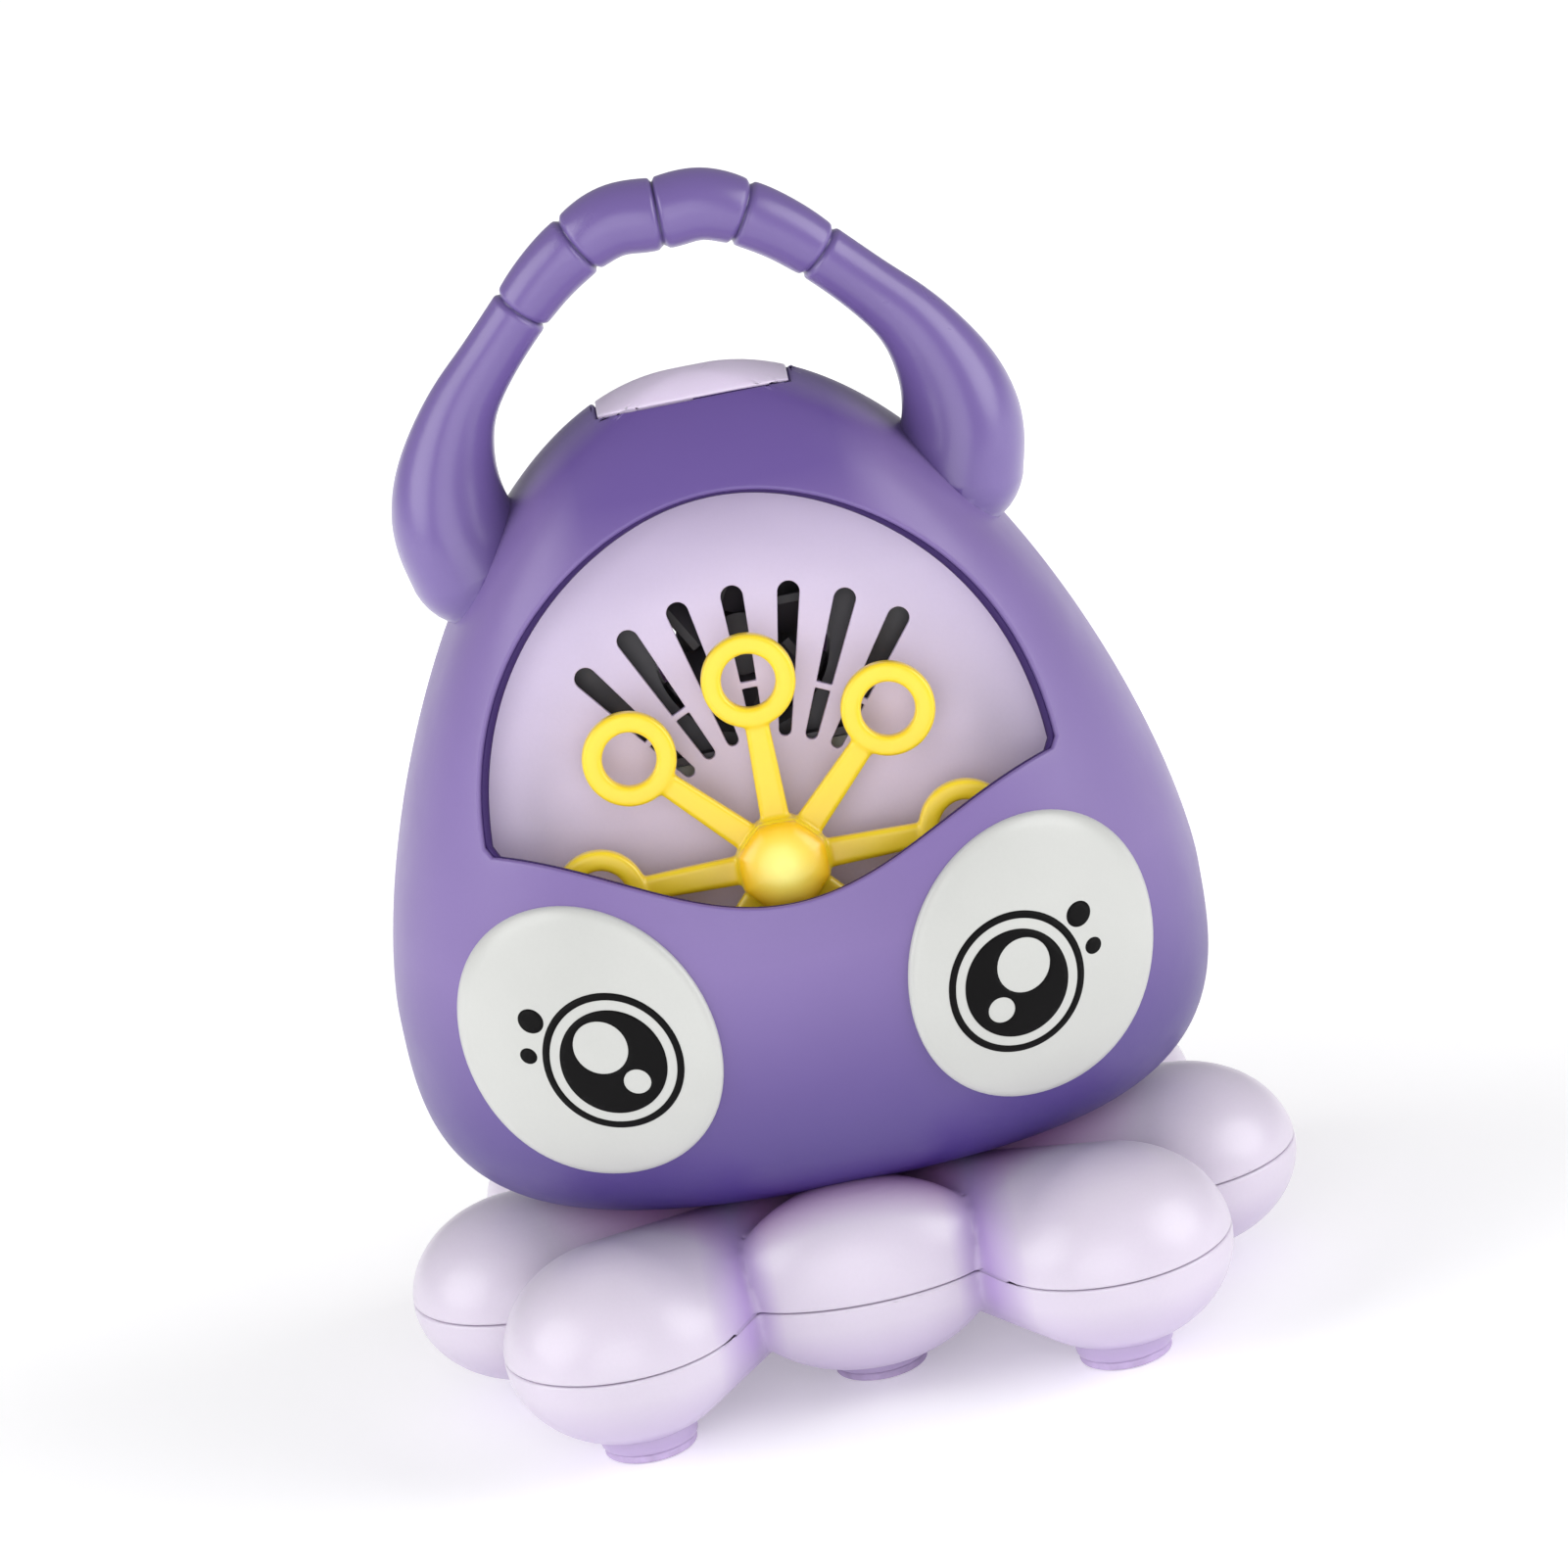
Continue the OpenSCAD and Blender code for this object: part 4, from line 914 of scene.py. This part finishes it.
whole = np.concatenate([HORN[::-1] * [-1, 1, 1], HORN[1:]])
path, along = smooth_path(whole, 430)
kernel = np.hanning(25) / np.hanning(25).sum()
for k in range(3):
    before, after = 2 * path[0, k] - path[12:0:-1, k], 2 * path[-1, k] - path[-2:-14:-1, k]
    path[:, k] = np.convolve(np.concatenate([before, path[:, k], after]), kernel, "valid")
direction = np.gradient(path[:, :2], axis=0)
direction /= np.linalg.norm(direction, axis=1)[:, None]
mark = np.array([along[np.argmin(np.abs(path[:, 0] - g))] for g in GROOVES])
dist = np.abs(along[:, None] - mark[None]).min(1)
grip = (along > mark[0]) & (along < mark[-1])
swell = np.where(grip, 0.15 * MM * (1 - np.exp(-(dist / (2.2 * MM)) ** 2)), 0.0)
radius = path[:, 2] + swell - GROOVE_DEEP * np.exp(-(dist / GROOVE_WIDE) ** 2)
around = np.linspace(0, 2 * math.pi, 56, endpoint=False)


def handle_ring(p, tangent, r, shift=0.0, shrink=1.0):
    """A cross-section of the handle, deeper than wide where the handle is thick."""
    normal = np.array([tangent[1], -tangent[0]])
    deep = 1 + 0.2 * (r / MM - 5.7) / 7
    middle = p + tangent * shift
    return np.stack([middle[0] + shrink * r * np.cos(around) * normal[0],
                     HANDLE_Y + shrink * r * deep * np.sin(around),
                     middle[1] + shrink * r * np.cos(around) * normal[1]], 1)


def round_end(i, sign):
    """The rings of the handle's round end at path point i, from the path outwards."""
    r = radius[i]
    return [handle_ring(path[i, :2], direction[i], r, sign * r * math.sin(t), math.cos(t))
            for t in np.radians(np.linspace(8, 80, 9))]


rings = round_end(0, -1)[::-1]
rings += [handle_ring(p[:2], t, r) for p, t, r in zip(path, direction, radius)]
rings += round_end(-1, 1)
verts, faces = strip(rings, caps=True)
# What lies inside the body is drawn out to the middle of its wall.
depth = outside_by(verts[:, 0], verts[:, 1], verts[:, 2])
for i in np.nonzero((depth < 0) & (verts[:, 2] < TOP - 4 * MM))[0]:
    x, y, z = verts[i]
    w, d = half_sizes(z, 1.0 * MM, y > 0)
    n = float(squareness(z))
    size = (abs(x) / float(w)) ** n + (abs(y) / float(d)) ** n
    if size < 1:
        k = size ** (-1 / n)
        verts[i] = (x * k, y * k, z)
handle = add("handle_grip", verts, faces)
face_out(handle, (0, 0, 0.2))
bm = bmesh.new()
bm.from_mesh(handle.data)
bmesh.ops.recalc_face_normals(bm, faces=bm.faces)
bm.to_mesh(handle.data)
bm.free()
finish_piece(handle, "handle", replaced=["handle"])

# ---------------------------------------------------------------- air panel
PANEL_Y = (9 * MM, 11 * MM)


def panel_half(t, y):
    """Half width of the body's inside at drive-frame height t and depth y."""
    p = DRIVE @ Vector((0, y, t))
    inset = WALL + 0.3 * MM
    w, d = half_sizes(p.z, inset, p.y > 0)
    n = float(squareness(p.z))
    q = abs(p.y) / max(float(d), 1e-6)
    return 0.0 if q >= 1 or p.z > TOP - inset else float(w) * (1 - q**n) ** (1 / n)


levels = np.arange(-13, 90, 1.2) * MM
rows = [(min(panel_half(t, y) for y in PANEL_Y), t) for t in levels]
rows = [r for r in rows if r[0] > 2 * MM]
outline = np.array(rows + [(-x, t) for x, t in rows[::-1]])
SLOT_R, SLOT_W, SLOT_RIB = (23 * MM, 53 * MM), (1.2 * MM, 2.15 * MM), (32.9 * MM, 34.1 * MM)
SLOTS, SLOT_TURN = 7, 12.3
slots = []
for i in range(SLOTS):
    turn = math.radians((i - (SLOTS - 1) / 2) * SLOT_TURN)
    up = np.array([-math.sin(turn), math.cos(turn)])
    across = np.array([math.cos(turn), math.sin(turn)])
    for r0, r1 in ((SLOT_R[0], SLOT_RIB[0]), (SLOT_RIB[1], SLOT_R[1])):
        w0, w1 = (np.interp(r, [SLOT_R[0] + SLOT_W[0], SLOT_R[1] - SLOT_W[1]], SLOT_W) for r in (r0, r1))
        if r0 == SLOT_R[0]:
            pts = [up * (r0 + w0 - w0 * math.cos(t)) + across * w0 * math.sin(t)
                   for t in np.linspace(-math.pi / 2, math.pi / 2, 9)]
        else:
            pts = [up * r0 - across * w0, up * r0 + across * w0]
        if r1 == SLOT_R[1]:
            pts += [up * (r1 - w1 + w1 * math.cos(t)) + across * w1 * math.sin(t)
                    for t in np.linspace(math.pi / 2, -math.pi / 2, 13)]
        else:
            pts += [up * r1 + across * w1, up * r1 - across * w1]
        slots.append(dense(np.array(pts), FINE))
slots.append(circle(0, 0, 3.5 * MM, 30))


def on_panel(uv):
    """Points of the panel's outline, on its front."""
    return np.array([tuple(DRIVE @ Vector((p[0], PANEL_Y[0], p[1]))) for p in uv])


panel = sheet("air_panel_plate", dense(outline), slots, on_panel, 3 * MM, (0, 0.2, 0.1))
thicken(panel, PANEL_Y[1] - PANEL_Y[0], 0.25 * MM)
finish_piece(panel, "lilac_panel", replaced=["air_panel"])

# ---------------------------------------------------------------- wand wheel
HALF_T = WHEEL_T / 2
WANDS, STALK_W, STALK_T, STALK_FLARE = 8, 4.6 * MM, 3.4 * MM, 1.25
ring_profile = [(RING_HOLE, 0), (RING_HOLE, -HALF_T), (RING_R, -HALF_T), (RING_R, HALF_T),
                (RING_HOLE, HALF_T), (RING_HOLE, 0)]
wheel_parts = []
for k in range(WANDS):
    turn = Matrix.Rotation(-k * 2 * math.pi / WANDS, 4, "Y")
    spot = turn @ Matrix.Translation((0, 0, WAND_R)) @ Matrix.Rotation(math.pi / 2, 4, "X")
    wheel_parts.append(revolve("ring", rounded(ring_profile, 1.1 * MM, 5), spot, 64))
    bm = bmesh.new()
    bmesh.ops.create_cube(bm, size=1)
    r0, r1 = HUB_R - 3 * MM, WAND_R - RING_R + 1.2 * MM
    for v in bm.verts:
        flare = STALK_FLARE if v.co.z < 0 else 1.0
        v.co = Vector((v.co.x * STALK_W * flare, v.co.y * STALK_T, v.co.z * (r1 - r0) + (r0 + r1) / 2))
    bmesh.ops.transform(bm, verts=bm.verts, matrix=turn)
    bmesh.ops.bevel(bm, geom=bm.edges[:], offset=0.9 * MM, segments=4, profile=0.5, affect="EDGES")
    wheel_parts.append(from_bmesh("stalk", bm))


def octagon(r, soft, n=96):
    """A rounded octagon with flats at r."""
    a = np.linspace(0, 2 * math.pi, n, endpoint=False)
    local = (a + math.pi / 8) % (math.pi / 4) - math.pi / 8
    flat = r / np.cos(local)
    return np.stack([np.cos(a), np.sin(a)], 1) * (flat * (1 - soft) + r * 1.02 * soft)[:, None]


def lofted(name, rows, matrix):
    """Stacked octagons: rows are (radius, height, softness)."""
    rings = [np.concatenate([octagon(r, s), np.full((96, 1), h)], 1) for r, h, s in rows]
    verts, faces = strip(rings, caps=True)
    obj = add(name, verts, faces)
    face_out(obj, tuple(np.mean(verts, 0)))
    obj.data.transform(matrix)
    return obj


TO_FRONT = Matrix.Rotation(math.pi / 2, 4, "X")    # local Z towards -Y
# The hub's sections, as (how far inside HUB_R, height) in mm.
hub = [(0.8, -3.5), (0.2, -3.2), (0, -2.6), (0, 4.6), (0.2, 5.2), (0.7, 5.5)]
hub = [(HUB_R - inset * MM, h * MM, 0.2) for inset, h in hub]
wheel_parts.append(lofted("hub", hub, TO_FRONT))
wheel = fuse(join("wand_wheel_skin", wheel_parts), 0.42 * MM, 3)
wheel.data.transform(DRIVE)
wheel.data.shade_smooth()
finish_piece(wheel, "yellow_wheel", "wheel", replaced=["wand_wheel"])
DOME_R, DOME_LOW, DOME_RISE = 8.4 * MM, 6.4 * MM, 4.2 * MM
dome = [(8.25 * MM, 5.6 * MM, 0.25), (DOME_R, 5.9 * MM, 0.25)]
for q in np.linspace(0, 86, 14):
    t = math.radians(q)
    dome.append((DOME_R * math.cos(t) ** 0.8, DOME_LOW + DOME_RISE * math.sin(t), 0.25 + 0.7 * q / 90))
cap = lofted("hub_dome", dome, DRIVE @ TO_FRONT)
finish_piece(cap, "hub", "wheel", replaced=["hub_cap"])

# ---------------------------------------------------------------- base
# A tentacle of each kind: centre (x, y, z), half sizes (x, y, z), and its foot's share of the way out.
KINDS = [(0, 31.5, 24.2, 26.3, 15.2, 19.2, 0.62),
         (48, 38.5, 22.8, 23.8, 23, 19.6, 0.98),
         (65, 0, 22.5, 23.4, 22, 18.2, 0.92)]
parts, feet = [], []
for cx, cy, cz, rx, ry, rz, foot in KINDS:
    for side in ((-1, 1) if cx else (1,)):
        for end in ((-1, 1) if cy else (1,)):
            x, y = side * cx * MM, -end * cy * MM
            outer = ball(x, y, cz * MM, rx * MM, ry * MM, rz * MM)
            inner = ball(0.1 * x, 0, SEAM_Z - 1.5 * MM, 3 * MM, 3 * MM, 12.4 * MM, 24)
            parts.append(hull("lobe", [outer, inner]))
            feet.append((x * foot, y * foot))
base = fuse(join("base", parts), 0.8 * MM, 2)


def cut_half(name, source, keep_up, gap):
    """The part of a closed mesh above or below the seam, capped."""
    obj = linked(name, source.data.copy())
    bm = bmesh.new()
    bm.from_mesh(obj.data)
    level = SEAM_Z + (gap if keep_up else -gap)
    for v in bm.verts:
        if abs(v.co.z - level) < 0.25 * MM:
            v.co.z = level
    everything = bm.verts[:] + bm.edges[:] + bm.faces[:]
    cut = bmesh.ops.bisect_plane(bm, geom=everything, dist=1e-6, plane_co=(0, 0, level),
                                 plane_no=(0, 0, 1), clear_inner=keep_up, clear_outer=not keep_up)
    rim = [e for e in cut["geom_cut"] if isinstance(e, bmesh.types.BMEdge)]
    inward = bmesh.ops.extrude_edge_only(bm, edges=[e for e in rim if e.is_boundary])
    new = [v for v in inward["geom"] if isinstance(v, bmesh.types.BMVert)]
    for v in new:
        flat = Vector((v.co.x, v.co.y, 0))
        v.co -= flat.normalized() * 1.6 * MM
    bmesh.ops.holes_fill(bm, edges=[e for e in bm.edges if e.is_boundary], sides=0)
    bmesh.ops.recalc_face_normals(bm, faces=bm.faces)
    bm.to_mesh(obj.data)
    bm.free()
    obj.data.shade_smooth()
    modify(obj, "BEVEL", width=0.45 * MM, segments=3, limit_method="ANGLE", angle_limit=math.radians(55),
           use_clamp_overlap=False)
    modify(obj, "WEIGHTED_NORMAL", keep_sharp=False)
    return obj


upper = cut_half("base_upper_skin", base, True, 0.12 * MM)
finish_piece(upper, "base", replaced=["base_upper"])
lower = cut_half("base_lower_skin", base, False, 0.12 * MM)
finish_piece(lower, "base", replaced=["base_lower"])
bpy.data.objects.remove(base)
PAD_R, PAD_TOP, STEM_LOW = FOOT_R - 0.5 * MM, 1.64 * MM, 1.65 * MM
stem_profile = rounded([(0, STEM_LOW), (FOOT_R, STEM_LOW), (FOOT_R, 9 * MM), (0, 11 * MM)], 0.8 * MM)
pad_profile = rounded([(0, 0), (PAD_R, 0), (PAD_R, PAD_TOP), (0, PAD_TOP)], 0.5 * MM)
for k, (x, y) in enumerate(feet):
    stem = revolve(f"foot_stem_{k}", stem_profile, Matrix.Translation((x, y, 0)), 56)
    finish_piece(stem, "base")
    pad = revolve(f"foot_pad_{k}", pad_profile, Matrix.Translation((x, y, 0)), 56)
    finish_piece(pad, "foot_rubber", replaced=["foot_pads"] if k == 0 else ())

# ---------------------------------------------------------------- stage, lights and camera
bm = bmesh.new()
bmesh.ops.create_grid(bm, x_segments=8, y_segments=8, size=7)
floor = from_bmesh("floor", bm)
floor.location.z = -0.2 * MM
floor_mat, tree, bsdf, at = nodes_of("studio_floor")
patches = spread(tree, noise(tree, at, 3, 3), 0, 1)
paper = blend_colour(tree, patches, (0.93, 0.93, 0.935, 1), (0.95, 0.95, 0.955, 1))
tree.links.new(paper, bsdf.inputs["Base Color"])
bsdf.inputs["Roughness"].default_value = 0.7
bsdf.inputs["Emission Color"].default_value = (1, 1, 1, 1)
# The floor glows a little, and more away from the object, so that it stays white out to the edges.
glow = spread(tree, from_axis(tree, at, (0, 0, 0), (0, 0, 1)), 0.22, 0.5, 80 * MM, 450 * MM)
tree.links.new(glow, bsdf.inputs["Emission Strength"])
floor.data.materials.append(floor_mat)
floor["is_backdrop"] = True

scene = bpy.context.scene
scene.view_settings.view_transform = "Standard"
world = bpy.data.worlds.new("studio")
world.use_nodes = True
world.node_tree.nodes["Background"].inputs["Color"].default_value = (1.0, 1.0, 1.0, 1)
world.node_tree.nodes["Background"].inputs["Strength"].default_value = 0.36
scene.world = world


def area(name, at, size, power):
    """A round soft light, aimed at the object."""
    light = bpy.data.lights.new(name, "AREA")
    light.shape, light.size, light.energy = "DISK", size, power
    obj = linked(name, light)
    obj.location = at
    obj.rotation_euler = (LIT - Vector(at)).to_track_quat("-Z", "Y").to_euler()


LIT = Vector((0, 0, 0.1))
area("front", (-0.3, -2.0, 0.6), 1.8, 15.5)
area("left", (-1.6, -0.45, 0.9), 1.6, 20.0)
area("right", (1.65, -0.5, 0.9), 1.6, 23.0)

# The photograph's view: 20 degrees above the front, with the object leaning 11.1 degrees in the frame.
LOOK = Vector((0, 0, 0.120))
TILT, ROLL, DISTANCE = math.radians(20), math.radians(11.1), 2.2
FRAME, LOOK_X, LOOK_Y, PIXEL = 1601, 780.7, 779.3, 0.19 * MM    # LOOK's place in the frame, in pixels
fwd = Vector((0, math.cos(TILT), -math.sin(TILT)))
right0, up0 = Vector((1, 0, 0)), Vector((0, math.sin(TILT), math.cos(TILT)))
cam_up = math.sin(ROLL) * right0 + math.cos(ROLL) * up0
cam_right = math.cos(ROLL) * right0 - math.sin(ROLL) * up0
aim = LOOK + (FRAME / 2 - LOOK_X) * PIXEL * cam_right - (FRAME / 2 - LOOK_Y) * PIXEL * cam_up
data = bpy.data.cameras.new("camera")
data.sensor_width = 36
data.lens = 36 * DISTANCE / (FRAME * PIXEL)
camera = linked("camera", data)
facing = Matrix((cam_right, cam_up, -fwd)).transposed().to_4x4()
camera.matrix_world = Matrix.Translation(aim - fwd * DISTANCE) @ facing
scene.camera = camera

lo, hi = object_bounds()
